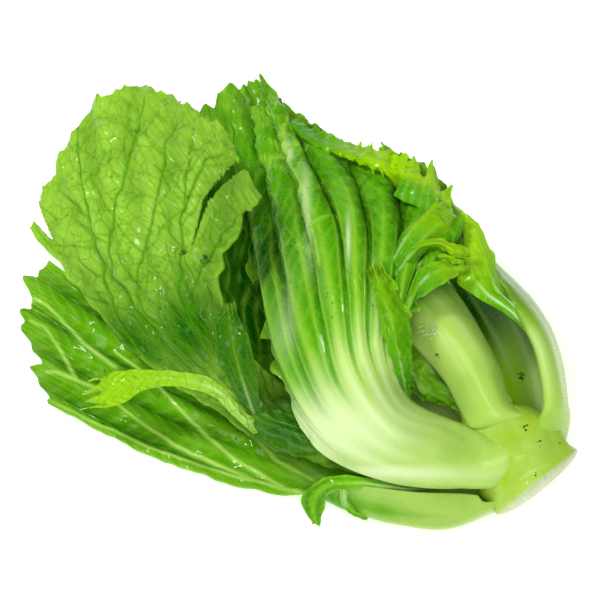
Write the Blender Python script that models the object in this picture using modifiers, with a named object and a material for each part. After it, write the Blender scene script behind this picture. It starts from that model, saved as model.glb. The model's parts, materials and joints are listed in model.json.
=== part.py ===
"""A cut head of mustard greens, lying on its side on a table.

A short stump carries six broad leaves and a small heart. Each leaf is one solid: a thick, cupped stalk that
opens into a fan of ribs, with a thin pleated blade between them and a waved, toothed margin.

The leaves are laid out on a drawing board that faces one eye point above the head. A guide point is
(across, up, lift): millimetres to the right and up the board from its centre, and the height over the table
at which that line of sight is met. A leaf is a net of such points, one row for each of its ribs.
"""

import math
import random

import bmesh
import bpy
import numpy as np
from mathutils import Matrix, Vector

MM = 0.001

# The drawing board: how steeply the eye looks down, how far off it is, and the board centre's height
SIGHT_ELEVATION = math.radians(60)
EYE_DISTANCE = 850.0
BOARD_HEIGHT = 40.0

# The part frame: the head's axis is turned to lie along X, stump at +X, and centred over the origin
HEAD_TURN = math.radians(50.8)
HEAD_CENTRE = (-6.2, -9.3)

# The stump: where its cut face is centred, which way its axis runs on the board, and its size
CUT_CENTRE = (121.3, -94.5, 27.0)
STUMP_AXIS = (-0.619, 0.758, 0.218)
STUMP_LENGTH = 60.0
STUMP_SIDES = 28

# The stump's outline above its cut face as (radius, height), from its growing tip down
STUMP_OUTLINE = (
    (5, 57), (9, 50), (15, 42), (20.5, 34), (24, 26), (24.5, 16), (23.5, 8), (24, 3), (23.5, 0.6), (23, 0),
)

# Where a leaf meets the stump: the gap between them, how deep its root starts and how narrow it is there
SEAT_GAP = 0.3
ROOT_DEPTH = 4.0
ROOT_NARROWING = 0.5
COLLAR_REACH = 1.0

# All leaves: the blade's thickness, and how far a torn lobe's middle stands above its edges
BLADE_THICKNESS = 1.0
LOBE_CROWN = 1.0

# Stretches of a leaf's length over which it changes, counted from where its stalk has thinned out
THINNING = (-0.25, 0.10)
FOLDING = (-0.10, 0.25)

# Shares of the whole leaf: where its root has filled out, where its waved margin begins on each side and
# at the tip, where a rib fades, and where the bites begin on its sides
ROOT_FULL = 0.12
ROOT_SHARE = 0.4
MARGIN_FROM = 0.75
RIB_FADES = 0.6
TIP_BITES = (0.5, 1.0)
SIDE_BITES = (0.35, 0.6)
SIDE_TEETH = 7

# How much of its margin's wave height each of the two crossing waves gives
WAVE_SHARE = 0.7

# Finish
STUMP_COLOUR = (0.58, 0.72, 0.28)
WET_ROUGHNESS = 0.35
SHARP_EDGE = math.radians(50)


def eye_axes():
    """The board's right and up directions and the direction from the board to the eye."""
    right = np.array((1.0, 0.0, 0.0))
    up = np.array((0.0, math.sin(SIGHT_ELEVATION), math.cos(SIGHT_ELEVATION)))
    toward = np.array((0.0, -math.cos(SIGHT_ELEVATION), math.sin(SIGHT_ELEVATION)))
    return right, up, toward


def sighted(points):
    """Guide points (across, up, lift) as points in space, in millimetres over the table."""
    points = np.asarray(points, float)
    right, up, toward = eye_axes()
    centre = np.array((0.0, 0.0, BOARD_HEIGHT))
    eye = centre + toward * EYE_DISTANCE
    on_board = centre + points[..., 0:1] * right + points[..., 1:2] * up
    ray = on_board - eye
    reach = (points[..., 2] - eye[2]) / ray[..., 2]
    return eye + ray * reach[..., None]


def stump_frame():
    """The cut face's centre, the stump's axis, and the two directions across it: right, and up."""
    base = sighted(CUT_CENTRE)
    axis = np.array(STUMP_AXIS) / np.linalg.norm(STUMP_AXIS)
    right = np.cross(axis, (0.0, 0.0, 1.0))
    right /= np.linalg.norm(right)
    return base, axis, right, np.cross(right, axis)


def around_stump(along, radius, angle):
    """A point so far along the stump's axis, so far out from it, at an angle in degrees from its right."""
    base, axis, right, up = stump_frame()
    turn = math.radians(angle)
    return base + axis * along + radius * (math.cos(turn) * right + math.sin(turn) * up)


# Leaves. Each rib runs from the stump to the margin, and the ribs go from one side of the leaf to the other.
# seat: for its first and its last rib, how far up the stump it leaves it, the radius there, and the angle
# stalk, stalk_ends: the stalk's thickness, and the share of the leaf's length at which it has thinned out
# pleat, rib, ruffle: depth of the folds between ribs, a rib's extra thickness, height of the margin's waves
# bites, teeth: depth of the notches at the tip as a share of the leaf, and how many there are
# cells: how many cells its grid has across and along

FRONT_LEAF = {
    "name": "front_leaf",
    "colour": (0.36, 0.62, 0.08),
    "cells": (32, 20),
    "seat": ((14, 32), (27, 20), (190, 128)),
    "ribs": [
        [(70, -94, 34), (43, -90, 36), (15, -79, 36), (-8, -54, 37),
         (-21, -22, 38), (-31, 19, 34), (-42, 60, 28)],
        [(70, -91, 46), (41, -83, 50), (12, -66, 52), (-8, -34, 52),
         (-19, 7, 46), (-25, 50, 38), (-38, 104, 32)],
        [(71, -84, 54), (42, -74, 60), (17, -52, 66), (2, -18, 70),
         (-7, 19, 66), (-15, 62, 54), (-29, 115, 40)],
        [(73, -76, 57), (44, -64, 66), (24, -38, 76), (16, 0, 86),
         (9, 37, 84), (-6, 75, 70), (-17, 117, 48)],
        [(75, -69, 56), (47, -57, 66), (32, -29, 79), (28, 9, 91), (26, 44, 90), (17, 68, 77), (5, 90, 60)],
        [(77, -65, 53), (50, -53, 63), (39, -26, 78), (40, 6, 92),
         (42, 37, 93), (40, 60, 82), (36, 79, 68)],
        [(81, -63, 50), (54, -50, 57), (46, -27, 76), (50, 0, 92),
         (56, 28, 95), (63, 50, 88), (68, 68, 74)],
        [(84, -62, 46), (56, -49, 51), (50, -30, 72), (53, -8, 88),
         (63, 14, 94), (74, 32, 92), (85, 45, 84)],
        [(87, -61, 42), (58, -49, 45), (55, -34, 62), (57, -15, 77),
         (64, 2, 85), (75, 9, 88), (88, 17, 86)],
    ],
    "stalk": 9.0,
    "stalk_ends": 0.42,
    "pleat": 4.5,
    "rib": 1.2,
    "ruffle": 3.0,
    "bites": 0.07,
    "teeth": 9,
    "seed": 3,
}

TOP_LEAF = {
    "name": "top_leaf",
    "colour": (0.46, 0.68, 0.20),
    "cells": (16, 18),
    "seat": ((32, 24), (23, 23), (112, 38)),
    "ribs": [
        [(89, -58, 49), (74, -41, 55), (57, -25, 60), (38, -8, 56), (18, 15, 50), (0, 42, 42)],
        [(96, -56, 57), (84, -34, 66), (68, -15, 72), (46, 5, 69), (25, 32, 62), (11, 62, 52)],
        [(105, -53, 57), (94, -29, 67), (79, -8, 73), (56, 14, 71), (38, 42, 64), (30, 67, 54)],
        [(112, -52, 48), (104, -30, 57), (89, -7, 64), (67, 19, 64), (53, 45, 59), (47, 65, 50)],
    ],
    "stalk": 6.5,
    "stalk_ends": 0.6,
    "pleat": 2.0,
    "rib": 0.6,
    "ruffle": 2.0,
    "bites": 0.06,
    "teeth": 4,
    "seed": 5,
}

RIGHT_LEAF = {
    "name": "right_leaf",
    "colour": (0.38, 0.62, 0.16),
    "cells": (18, 16),
    "seat": ((14, 14), (23, 23), (-48, 58)),
    "ribs": [
        [(103, -47, 6), (90, -22, 3), (74, 5, 3), (56, 37, 6), (40, 67, 11), (29, 82, 16)],
        [(111, -50, 10), (102, -27, 7), (87, 0, 8), (67, 32, 13), (50, 64, 20), (42, 80, 24)],
        [(120, -53, 24), (115, -31, 24), (102, -3, 28), (82, 27, 34), (62, 60, 36), (55, 75, 36)],
        [(125, -54, 40), (122, -31, 42), (111, -4, 46), (92, 23, 50), (72, 49, 48), (62, 66, 46)],
        [(125, -52, 54), (121, -29, 62), (109, -5, 66), (94, 19, 64), (80, 40, 58), (69, 56, 54)],
        [(122, -51, 63), (118, -27, 74), (107, -6, 78), (96, 15, 74), (88, 34, 68), (80, 47, 60)],
    ],
    "stalk": 9.0,
    "stalk_ends": 0.62,
    "pleat": 2.5,
    "rib": 0.8,
    "ruffle": 2.0,
    "bites": 0.06,
    "teeth": 6,
    "seed": 8,
}

LOWER_LEAF = {
    "name": "lower_leaf",
    "colour": (0.14, 0.40, 0.02),
    "cells": (20, 16),
    "seat": ((8, 8), (24.5, 24.5), (195, 245)),
    "ribs": [
        [(78, -94, 31), (50, -93.5, 30), (22, -91, 26), (-5, -97, 11), (-65, -82, 6), (-131, -50, 8)],
        [(77, -106, 18), (50, -105, 16), (22, -99, 13), (-8, -87, 6), (-68, -65, 5), (-138, -30, 12)],
        [(79, -106, 9), (51, -103, 6), (22, -94, 5.5), (-10, -77, 4), (-70, -50, 8), (-144, -8, 16)],
        [(83, -100, 7), (54, -92, 5.5), (24, -80, 6), (-12, -65, 7), (-72, -35, 13), (-142, 10, 22)],
        [(88, -91, 9), (58, -82, 8), (28, -70, 8.5), (-13, -54, 11), (-70, -20, 20), (-131, 25, 24)],
    ],
    "stalk": 7.0,
    "stalk_ends": 0.45,
    "pleat": 2.5,
    "rib": 1.0,
    "ruffle": 1.5,
    "bites": 0.06,
    "teeth": 6,
    "seed": 13,
}

BROAD_LEAF = {
    "name": "broad_leaf",
    "colour": (0.22, 0.50, 0.05),
    "cells": (26, 20),
    "seat": ((28, 28), (24.5, 24.5), (205, 250)),
    "ribs": [
        [(70, -92, 18), (20, -86, 18), (-18, -72, 20), (-50, -52, 24),
         (-84, -28, 28), (-112, 4, 30), (-141, 40, 32)],
        [(70, -88, 22), (20, -79, 24), (-20, -65, 28), (-54, -40, 33),
         (-85, -9, 37), (-110, 25, 39), (-133, 58, 38)],
        [(71, -84, 25), (21, -73, 28), (-20, -60, 32), (-55, -33, 40),
         (-85, 4, 46), (-107, 46, 50), (-125, 89, 46)],
        [(73, -80, 26), (23, -68, 29), (-19, -57, 34), (-53, -28, 44),
         (-79, 13, 53), (-97, 62, 58), (-96, 113, 52)],
        [(75, -75, 26), (25, -63, 28), (-17, -54, 33), (-47, -25, 47),
         (-67, 17, 60), (-76, 65, 68), (-68, 112, 60)],
        [(78, -70, 24), (27, -59, 27), (-15, -51, 31), (-37, -23, 49),
         (-50, 14, 66), (-54, 56, 78), (-41, 96, 76)],
        [(80, -66, 22), (29, -56, 24), (-14, -49, 28), (-27, -22, 49),
         (-30, 8, 68), (-27, 34, 84), (-15, 52, 90)],
    ],
    "stalk": 5.0,
    "stalk_ends": 0.4,
    "pleat": 1.5,
    "rib": 1.0,
    "ruffle": 1.5,
    "bites": 0.05,
    "teeth": 8,
    "seed": 21,
}

BACK_LEAF = {
    "name": "back_leaf",
    "colour": (0.10, 0.32, 0.02),
    "cells": (14, 14),
    "seat": ((12, 12), (24.5, 24.5), (268, 308)),
    "ribs": [
        [(86, -78, 10), (52, -68, 8), (14, -63, 5), (-20, -47, 6), (-54, 10, 13), (-60, 90, 22)],
        [(92, -73, 7), (66, -50, 6), (36, -22, 5.5), (4, 14, 5), (-26, 66, 9), (-40, 117, 20)],
        [(99, -68, 6), (77, -40, 5), (52, -6, 4.5), (22, 36, 4), (-4, 78, 8), (-23, 113, 18)],
        [(102, -65, 7), (84, -36, 6), (60, 1, 6), (35, 42, 6), (12, 76, 10), (-6, 98, 17)],
        [(104, -62, 10), (88, -34, 9), (64, 4, 10), (40, 44, 12), (22, 70, 15), (10, 82, 21)],
    ],
    "stalk": 6.5,
    "stalk_ends": 0.5,
    "pleat": 1.5,
    "rib": 0.8,
    "ruffle": 1.5,
    "bites": 0.05,
    "teeth": 5,
    "seed": 34,
}

# The heart: two crinkled leaves folded round each other, between the top leaf and the front leaf

HEART_OUTER = {
    "name": "heart_leaf_outer",
    "colour": (0.16, 0.50, 0.02),
    "cells": (16, 12),
    "seat": ((46, 46), (6, 6), (225, 300)),
    "ribs": [
        [(71, -54, 30), (55, -47, 30), (38, -28, 32), (22, -4, 32), (8, 20, 32)],
        [(74, -53, 36), (60, -43, 42), (45, -21, 46), (30, 3, 46), (16, 28, 44)],
        [(78, -51, 38), (66, -35, 46), (52, -10, 50), (37, 15, 50), (22, 40, 48)],
        [(82, -49, 36), (72, -30, 43), (60, -4, 47), (45, 22, 48), (28, 46, 46)],
        [(84, -48, 32), (76, -28, 34), (65, -2, 36), (49, 24, 38), (33, 50, 38)],
    ],
    "stalk": 3.0,
    "stalk_ends": 0.3,
    "pleat": 2.5,
    "rib": 0.4,
    "ruffle": 1.5,
    "bites": 0.1,
    "teeth": 8,
    "seed": 55,
}

HEART_INNER = {
    "name": "heart_leaf_inner",
    "colour": (0.28, 0.60, 0.06),
    "cells": (9, 8),
    "seat": ((42, 42), (9, 9), (245, 290)),
    "ribs": [
        [(73, -50, 26), (58, -39, 26), (43, -19, 27), (30, 1, 27), (20, 19, 28)],
        [(76, -48, 29), (63, -35, 30), (49, -14, 32), (36, 6, 32), (26, 25, 32)],
        [(78, -46, 29), (68, -31, 31), (55, -9, 33), (42, 12, 33), (32, 31, 33)],
        [(81, -46, 27), (73, -29, 27), (61, -6, 28), (48, 16, 29), (38, 36, 30)],
    ],
    "stalk": 1.6,
    "stalk_ends": 0.3,
    "pleat": 1.2,
    "rib": 0.4,
    "ruffle": 1.0,
    "bites": 0.1,
    "teeth": 6,
    "seed": 89,
}

# Torn lobes: narrow strips that spring from a leaf and stay part of it


def lobe(name, ribs, thickness, cells):
    """A lobe as a small leaf with no seat. Two edges alone get a middle rib, raised between them."""
    if len(ribs) == 2:
        left, right = ribs
        middle = [tuple((a + b) / 2 for a, b in zip(p, q)) for p, q in zip(left, right)]
        ribs = [left, [(x, y, z + LOBE_CROWN) for x, y, z in middle], right]
    return {
        "name": name,
        "cells": cells,
        "seat": None,
        "ribs": ribs,
        "stalk": thickness,
        "stalk_ends": 0.5,
        "pleat": 0.0,
        "rib": 0.0,
        "ruffle": 0.6,
        "bites": 0.0,
        "teeth": 2,
        "seed": 1,
    }


CURLED_LOBE = lobe(
    "curled_lobe",
    (
        [(-21, -70, 20), (-32, -60, 35), (-44, -49, 42), (-59, -44, 45),
         (-77, -44.5, 42), (-93, -51, 36), (-108, -50, 31)],
        [(-16, -65, 20), (-28, -54, 37), (-42, -40, 46), (-60, -35, 48),
         (-77, -35, 46), (-95, -39, 40), (-113, -45, 32)],
    ),
    2.4, (4, 14),
)
RAGGED_LOBE = lobe(
    "ragged_lobe",
    (
        [(-24, -62, 22), (-30, -48, 43), (-37, -30, 57), (-42, -14, 66), (-37, -2, 73)],
        [(-17, -62, 24), (-19, -50, 43), (-20, -34, 57), (-25, -17, 66), (-34, -1, 73)],
    ),
    1.6, (4, 12),
)
HANGING_LOBE = lobe(
    "hanging_lobe",
    (
        [(52, -96, 27), (31, -95, 28), (15, -97, 26), (13, -103, 18), (10, -114, 9)],
        [(52, -91, 28), (31, -88, 30), (11, -89, 28), (0, -98, 19), (6.5, -113, 9)],
    ),
    1.6, (4, 12),
)
CURLED_TENDRIL = lobe(
    "curled_tendril",
    (
        [(20, -95, 29), (20.5, -101, 22), (24, -106, 16), (33.5, -110, 10)],
        [(24, -95, 29), (24, -100, 22), (27, -103.5, 16), (35, -108, 10)],
    ),
    1.2, (2, 8),
)
FOLDED_LOBE = lobe(
    "folded_lobe",
    [
        [(42, 15, 85), (46, 24, 89), (50, 32, 90), (56, 39, 90), (63, 45, 89), (70, 50.5, 86)],
        [(43.5, 14, 88), (48.5, 24, 95), (53.5, 32, 97), (60, 40, 97), (66.5, 46, 95), (71.5, 50.5, 88)],
        [(45.5, 11.5, 88), (54, 22.5, 94), (61, 30, 96), (68, 37, 95), (73.5, 43, 92), (76, 46.5, 86)],
        [(48, 9.5, 86), (57, 18, 90), (65, 25, 91), (73, 30, 90), (78.5, 34.5, 87), (81, 39, 82)],
    ],
    1.4, (6, 8),
)
ARCHED_LOBE = lobe(
    "arched_lobe",
    [
        [(44, 10, 86), (49, 19, 93), (54, 25.5, 97), (60, 29.5, 98),
         (68, 31, 97), (77.5, 28.5, 94), (85.5, 25.5, 90)],
        [(45.5, 7.5, 86), (51, 17, 95), (56, 23, 98.5), (61.5, 27, 98.5),
         (69, 28.5, 97.5), (77.5, 25, 94.5), (85.5, 24, 90)],
        [(48, 5, 84), (53, 13, 92), (57, 19.5, 93.5), (62.5, 25, 94),
         (69.5, 26.5, 93.5), (76.5, 21.5, 91.5), (84.5, 21, 88.5)],
    ],
    1.4, (4, 10),
)
POINTED_LOBE = lobe(
    "pointed_lobe",
    [
        [(53, 3, 84), (56, 9.5, 91), (60, 15, 94), (65.5, 19, 95),
         (71.5, 20.5, 94), (78, 18, 91), (84, 18.5, 88.5)],
        [(54.5, 1, 84), (59, 7, 93), (63.5, 11.5, 96), (68.5, 14.5, 96),
         (74, 16, 95), (79.5, 15.5, 91.5), (85, 16.5, 88.5)],
        [(56, -1.5, 82), (62, 1.5, 89), (67, 4.5, 90), (72, 7.5, 91),
         (76, 10, 90), (80.5, 12.5, 89), (84, 14.5, 87.5)],
    ],
    1.4, (4, 10),
)
HANGING_MARGIN = lobe(
    "hanging_margin",
    [
        [(52, -51, 45), (47, -36, 71), (42.5, -22.5, 84), (39, -9, 92), (35.5, 4, 97), (30.5, 16, 98)],
        [(54, -51, 45), (51.5, -37.5, 71), (48.5, -22.5, 86), (45.5, -7.5, 94),
         (41, 6, 98.5), (35, 20.5, 98.5)],
        [(55.5, -50, 43), (56.5, -36, 64), (57, -22.5, 77), (56, -9, 86), (50, 4, 94), (38.5, 23.5, 97)],
    ],
    1.4, (4, 12),
)
BARBED_LOBE = lobe(
    "barbed_lobe",
    [
        [(118.5, -23, 64), (103.5, -8.5, 73), (86, 1, 77), (77, 9, 77),
         (80, 22, 78), (81, 32, 79), (76, 45, 77)],
        [(119, -21.5, 67), (106.5, -6.5, 76), (93.5, 3.5, 79), (86, 13, 81),
         (86.5, 24, 82), (83.5, 34, 81), (77, 46, 77.5)],
        [(120, -20, 69), (109.5, -5, 76.5), (99, 5, 78), (94, 15, 80),
         (91, 26, 81.5), (87, 36, 81), (78, 46, 77.5)],
        [(121, -19, 70), (112.5, -5, 70), (104, 3.5, 71.5), (100, 14, 74.5),
         (96, 26, 77), (89.5, 39, 79), (79.5, 45, 77)],
    ],
    1.4, (6, 12),
)
FRONT_LEAF["lobes"] = (FOLDED_LOBE, ARCHED_LOBE, POINTED_LOBE, HANGING_MARGIN)
RIGHT_LEAF["lobes"] = (BARBED_LOBE,)
LOWER_LEAF["lobes"] = (HANGING_LOBE, CURLED_TENDRIL)
BROAD_LEAF["lobes"] = (CURLED_LOBE, RAGGED_LOBE)

LEAVES = (
    FRONT_LEAF,
    TOP_LEAF,
    RIGHT_LEAF,
    LOWER_LEAF,
    BROAD_LEAF,
    BACK_LEAF,
    HEART_OUTER,
    HEART_INNER,
)


def smooth(low, high, x):
    """0 below low, 1 above high, and a smooth step between."""
    x = np.clip((np.asarray(x, float) - low) / (high - low), 0, 1)
    return x * x * (3 - 2 * x)


def unit(vectors):
    """The same directions, each one unit long."""
    return vectors / np.linalg.norm(vectors, axis=-1, keepdims=True)


def waves(x, seed, pitch):
    """A wave between about -1 and 1 that never quite repeats, with its main length near one over pitch."""
    draw = random.Random(seed)
    total = 0
    for share, ratio in ((0.5, 1.0), (0.3, 1.73), (0.2, 2.91)):
        total = total + share * np.sin(2 * math.pi * (x * pitch * ratio + draw.random()))
    return total


def tangents(points, knots):
    """Slopes of a smooth curve through points along the first axis, at uneven knots."""
    steps = np.diff(knots).reshape((-1,) + (1,) * (points.ndim - 1))
    slopes = np.diff(points, axis=0) / steps
    inner = (slopes[:-1] * steps[1:] + slopes[1:] * steps[:-1]) / (steps[1:] + steps[:-1])
    return np.concatenate((slopes[:1], inner, slopes[-1:]))


def through(points, slopes, knots, at, pick=None):
    """Values at `at` on the smooth curve. With pick, each value has its own set of points, along axis 1."""
    i = np.clip(np.searchsorted(knots, at, side="right") - 1, 0, len(knots) - 2)
    step = knots[i + 1] - knots[i]
    x = (at - knots[i]) / step
    shape = (-1,) + (1,) * (points.ndim - 1 - (pick is not None))
    x, step = x.reshape(shape), step.reshape(shape)
    if pick is None:
        a, b, m, n = points[i], points[i + 1], slopes[i], slopes[i + 1]
    else:
        a, b, m, n = points[i, pick], points[i + 1, pick], slopes[i, pick], slopes[i + 1, pick]
    return (
        a * (1 + 2 * x) * (1 - x) ** 2
        + b * x * x * (3 - 2 * x)
        + step * (m * x * (1 - x) ** 2 - n * x * x * (1 - x))
    )


def leaf_net(leaf):
    """The leaf's guide points, station by station along it and rib by rib across it."""
    ribs = leaf["ribs"]
    net = sighted([[rib[j] for rib in ribs] for j in range(len(ribs[0]))])
    if not leaf["seat"]:
        return net
    places = list(zip(*(np.linspace(*ends, len(ribs)) for ends in leaf["seat"])))
    root = [around_stump(up - ROOT_DEPTH, out * ROOT_NARROWING, angle) for up, out, angle in places]
    collar = [around_stump(up + COLLAR_REACH, out, angle) for up, out, angle in places]
    return np.concatenate(([root, collar], net))


def leaf_points(net, across, along):
    """Points of the leaf's guide surface at shares of its width and length."""
    chords = np.linalg.norm(np.diff(net, axis=0), axis=2).mean(axis=1)
    knots = np.concatenate(([0.0], np.cumsum(chords))) / chords.sum()
    rows = through(net, tangents(net, knots), knots, along)
    rows = np.swapaxes(rows, 0, 1)
    rib_knots = np.linspace(0, 1, net.shape[1])
    return through(rows, tangents(rows, rib_knots), rib_knots, across, pick=np.arange(len(along)))


def leaf_normals(net, across, along):
    """Directions square to the guide surface, on the side that faces the eye."""
    reach = 0.02
    left, right = np.clip(across - reach, 0, 1), np.clip(across + reach, 0, 1)
    low, high = np.clip(along - reach, 0, 1), np.clip(along + reach, 0, 1)
    sideways = leaf_points(net, right, along) - leaf_points(net, left, along)
    forward = leaf_points(net, across, high) - leaf_points(net, across, low)
    return unit(np.cross(sideways, forward))


def leaf_outline(leaf, across, along):
    """Shares of width and length with the margin's bites taken out."""
    bites, seed = leaf["bites"], leaf["seed"]
    tips = bites * (0.5 + 0.5 * waves(across, seed, leaf["teeth"] / 2)) * smooth(*TIP_BITES, along)
    sides = bites * (0.5 + 0.5 * waves(along, seed + 1, SIDE_TEETH)) * smooth(*SIDE_BITES, along)
    return 0.5 + (across - 0.5) * (1 - sides), along * (1 - tips)


def leaf_form(leaf, across, along, depth):
    """Where a point of the leaf lies: depth 0 is the face towards the eye, and 1 the one behind it."""
    net = leaf_net(leaf)
    u, v = leaf_outline(leaf, across, along)
    face, normal = leaf_points(net, u, v), leaf_normals(net, u, v)
    beyond = along - leaf["stalk_ends"]
    stalk, blade = 1 - smooth(*THINNING, beyond), smooth(*FOLDING, beyond)
    from_middle = np.abs(2 * across - 1)
    rounding = np.sqrt(np.clip(1 - from_middle ** 3, 0, 1))
    crest = np.abs(np.cos(math.pi * (len(leaf["ribs"]) - 1) * u))
    margin = np.maximum(smooth(MARGIN_FROM, 1, along), smooth(MARGIN_FROM, 1, from_middle) * blade)
    tip_waves = waves(across, leaf["seed"] + 2, leaf["teeth"] / 2)
    side_waves = waves(along, leaf["seed"] + 3, SIDE_TEETH - 1)
    root = ROOT_SHARE + (1 - ROOT_SHARE) * smooth(0, ROOT_FULL, along)
    bulk = (leaf["stalk"] - BLADE_THICKNESS) * stalk * root
    rib = leaf["rib"] * crest ** 3 * blade * (1 - smooth(RIB_FADES, 1, along))
    rise = WAVE_SHARE * leaf["ruffle"] * margin * (tip_waves + side_waves)
    rise = rise - leaf["pleat"] * blade * (1 - crest) - bulk * (1 - rounding) / 2
    thickness = BLADE_THICKNESS + bulk * rounding + rib
    # A stalk's thickness leans towards its middle line, so that its two sides don't meet inside the curve
    behind = unit(normal + stalk[:, None] * leaf_normals(net, np.full_like(u, 0.5), v))
    return face + normal * rise[:, None] - behind * (depth * thickness)[:, None]


def placed():
    """The turn and shift from the board's frame, in millimetres, to the part's own, in metres."""
    shift = Matrix.Translation((-HEAD_CENTRE[0] * MM, -HEAD_CENTRE[1] * MM, 0))
    return shift @ Matrix.Rotation(HEAD_TURN, 4, "Z") @ Matrix.Scale(MM, 4)


def material(name, colour):
    """A wet, smooth finish in one colour."""
    made = bpy.data.materials.new(name)
    made.use_nodes = True
    shader = made.node_tree.nodes["Principled BSDF"]
    shader.inputs["Base Color"].default_value = (*colour, 1)
    shader.inputs["Roughness"].default_value = WET_ROUGHNESS
    shader.inputs["Metallic"].default_value = 0
    made.diffuse_color = (*colour, 1)
    return made


def collection(name):
    """A new collection under the scene's own."""
    made = bpy.data.collections.new(name)
    bpy.context.scene.collection.children.link(made)
    return made


def leaf_slab(name, columns, rows):
    """A flat slab one unit deep, split into cells. Its triangles are alike on both faces."""
    slab = bmesh.new()
    bmesh.ops.create_grid(slab, x_segments=columns, y_segments=rows, size=0.5)
    bmesh.ops.translate(slab, verts=slab.verts, vec=(0.5, 0.5, 0))
    bmesh.ops.triangulate(slab, faces=slab.faces, quad_method="FIXED")
    behind = bmesh.ops.extrude_face_region(slab, geom=slab.faces[:], use_keep_orig=True)
    moved = [v for v in behind["geom"] if isinstance(v, bmesh.types.BMVert)]
    bmesh.ops.translate(slab, verts=moved, vec=(0, 0, 1))
    bmesh.ops.recalc_face_normals(slab, faces=slab.faces)
    mesh = bpy.data.meshes.new(name)
    slab.to_mesh(mesh)
    slab.free()
    return mesh


def make_blade(leaf, home, finish):
    """A leaf or a lobe: a slab bent to its form, and pressed flat where it meets the table."""
    mesh = leaf_slab(leaf["name"], *leaf["cells"])
    shares = np.array([v.co for v in mesh.vertices])
    points = leaf_form(leaf, *shares.T)
    points[:, 2] = np.maximum(points[:, 2], np.where(shares[:, 2] > 0.5, 0, BLADE_THICKNESS))
    for vertex, point in zip(mesh.vertices, points):
        vertex.co = placed() @ Vector(point)
    # Bent over the net, the slab comes out mirrored: its faces are turned to look outward again
    mesh.flip_normals()
    mesh.shade_smooth()
    mesh.set_sharp_from_angle(angle=SHARP_EDGE)
    mesh.materials.append(finish)
    blade = bpy.data.objects.new(leaf["name"], mesh)
    home.objects.link(blade)
    return blade


def make_leaf(leaf, home, finish, cutter):
    """One leaf, trimmed where it sits on the stump, with its torn lobes joined to it."""
    blade = make_blade(leaf, home, finish)
    seat = blade.modifiers.new("Seat", "BOOLEAN")
    seat.operation = "DIFFERENCE"
    seat.object = cutter
    lobes = [make_blade(small, home, finish) for small in leaf.get("lobes", ())]
    for small in lobes:
        join = blade.modifiers.new(small.name, "BOOLEAN")
        join.operation = "UNION"
        join.object = small
    if lobes:
        view = bpy.context.evaluated_depsgraph_get()
        joined = bpy.data.meshes.new_from_object(blade.evaluated_get(view))
        blade.modifiers.clear()
        blade.data = joined
        for small in lobes:
            bpy.data.objects.remove(small)
    return blade


def stump_profile(gap):
    """The stump's outline as (radius, height) from its growing tip down to its cut face, grown by a gap."""
    grown = [(radius + gap, height if height else -gap) for radius, height in STUMP_OUTLINE]
    return [(0, STUMP_LENGTH + gap), *grown, (0, -gap)]


def make_stump(name, home, finish=None, gap=0.0):
    """The stump as a turned solid that stands on its own axis."""
    profile = [(radius * MM, 0, height * MM) for radius, height in stump_profile(gap)]
    mesh = bpy.data.meshes.new(name)
    mesh.from_pydata(profile, [(i, i + 1) for i in range(len(profile) - 1)], [])
    if finish:
        mesh.materials.append(finish)
    stump = bpy.data.objects.new(name, mesh)
    home.objects.link(stump)
    turned = stump.modifiers.new("Turned", "SCREW")
    turned.steps = turned.render_steps = STUMP_SIDES
    turned.use_merge_vertices = True
    turned.merge_threshold = 0.00001
    turned.use_smooth_shade = True
    base, axis, right, _ = stump_frame()
    upright = Matrix((right, np.cross(axis, right), axis)).transposed().to_4x4()
    turn = Matrix.Rotation(HEAD_TURN, 4, "Z")
    stump.matrix_world = Matrix.Translation(placed() @ Vector(base)) @ turn @ upright
    return stump


def main():
    """Clears the scene, then builds the stump and every leaf."""
    for old in list(bpy.data.objects):
        bpy.data.objects.remove(old)
    head = collection("Mustard greens")
    cutters = collection("Cutters")
    make_stump("stump", head, material("stump", STUMP_COLOUR))
    cutter = make_stump("seat_cutter", cutters, gap=SEAT_GAP)
    cutter.hide_render = True
    cutter.display_type = "WIRE"
    for leaf in LEAVES:
        make_leaf(leaf, head, material(leaf["name"], leaf["colour"]), cutter)


main()
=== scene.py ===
"""Mustard greens: the leaves, stump, light and camera of a cut head lying on its side.

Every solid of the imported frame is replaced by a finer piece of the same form. The leaves follow the same
nets of guide points as the solids, and add ribs, veins, crinkles, teeth and torn lobes. Lengths are in
millimetres over the table until a mesh is placed in the frame, which is in metres.

A guide point is (across, up, lift): millimetres to the right and up a drawing board that faces one eye point
above the head, and the height over the table at which that line of sight is met. Finer marks are given in
the board's squares, half a millimetre each, counted right and down from its top left corner.
"""

import json
import math
import random

import bpy
import numpy as np
from bpy.props import FloatProperty, FloatVectorProperty, IntProperty, PointerProperty
from mathutils import Matrix, Vector

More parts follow.
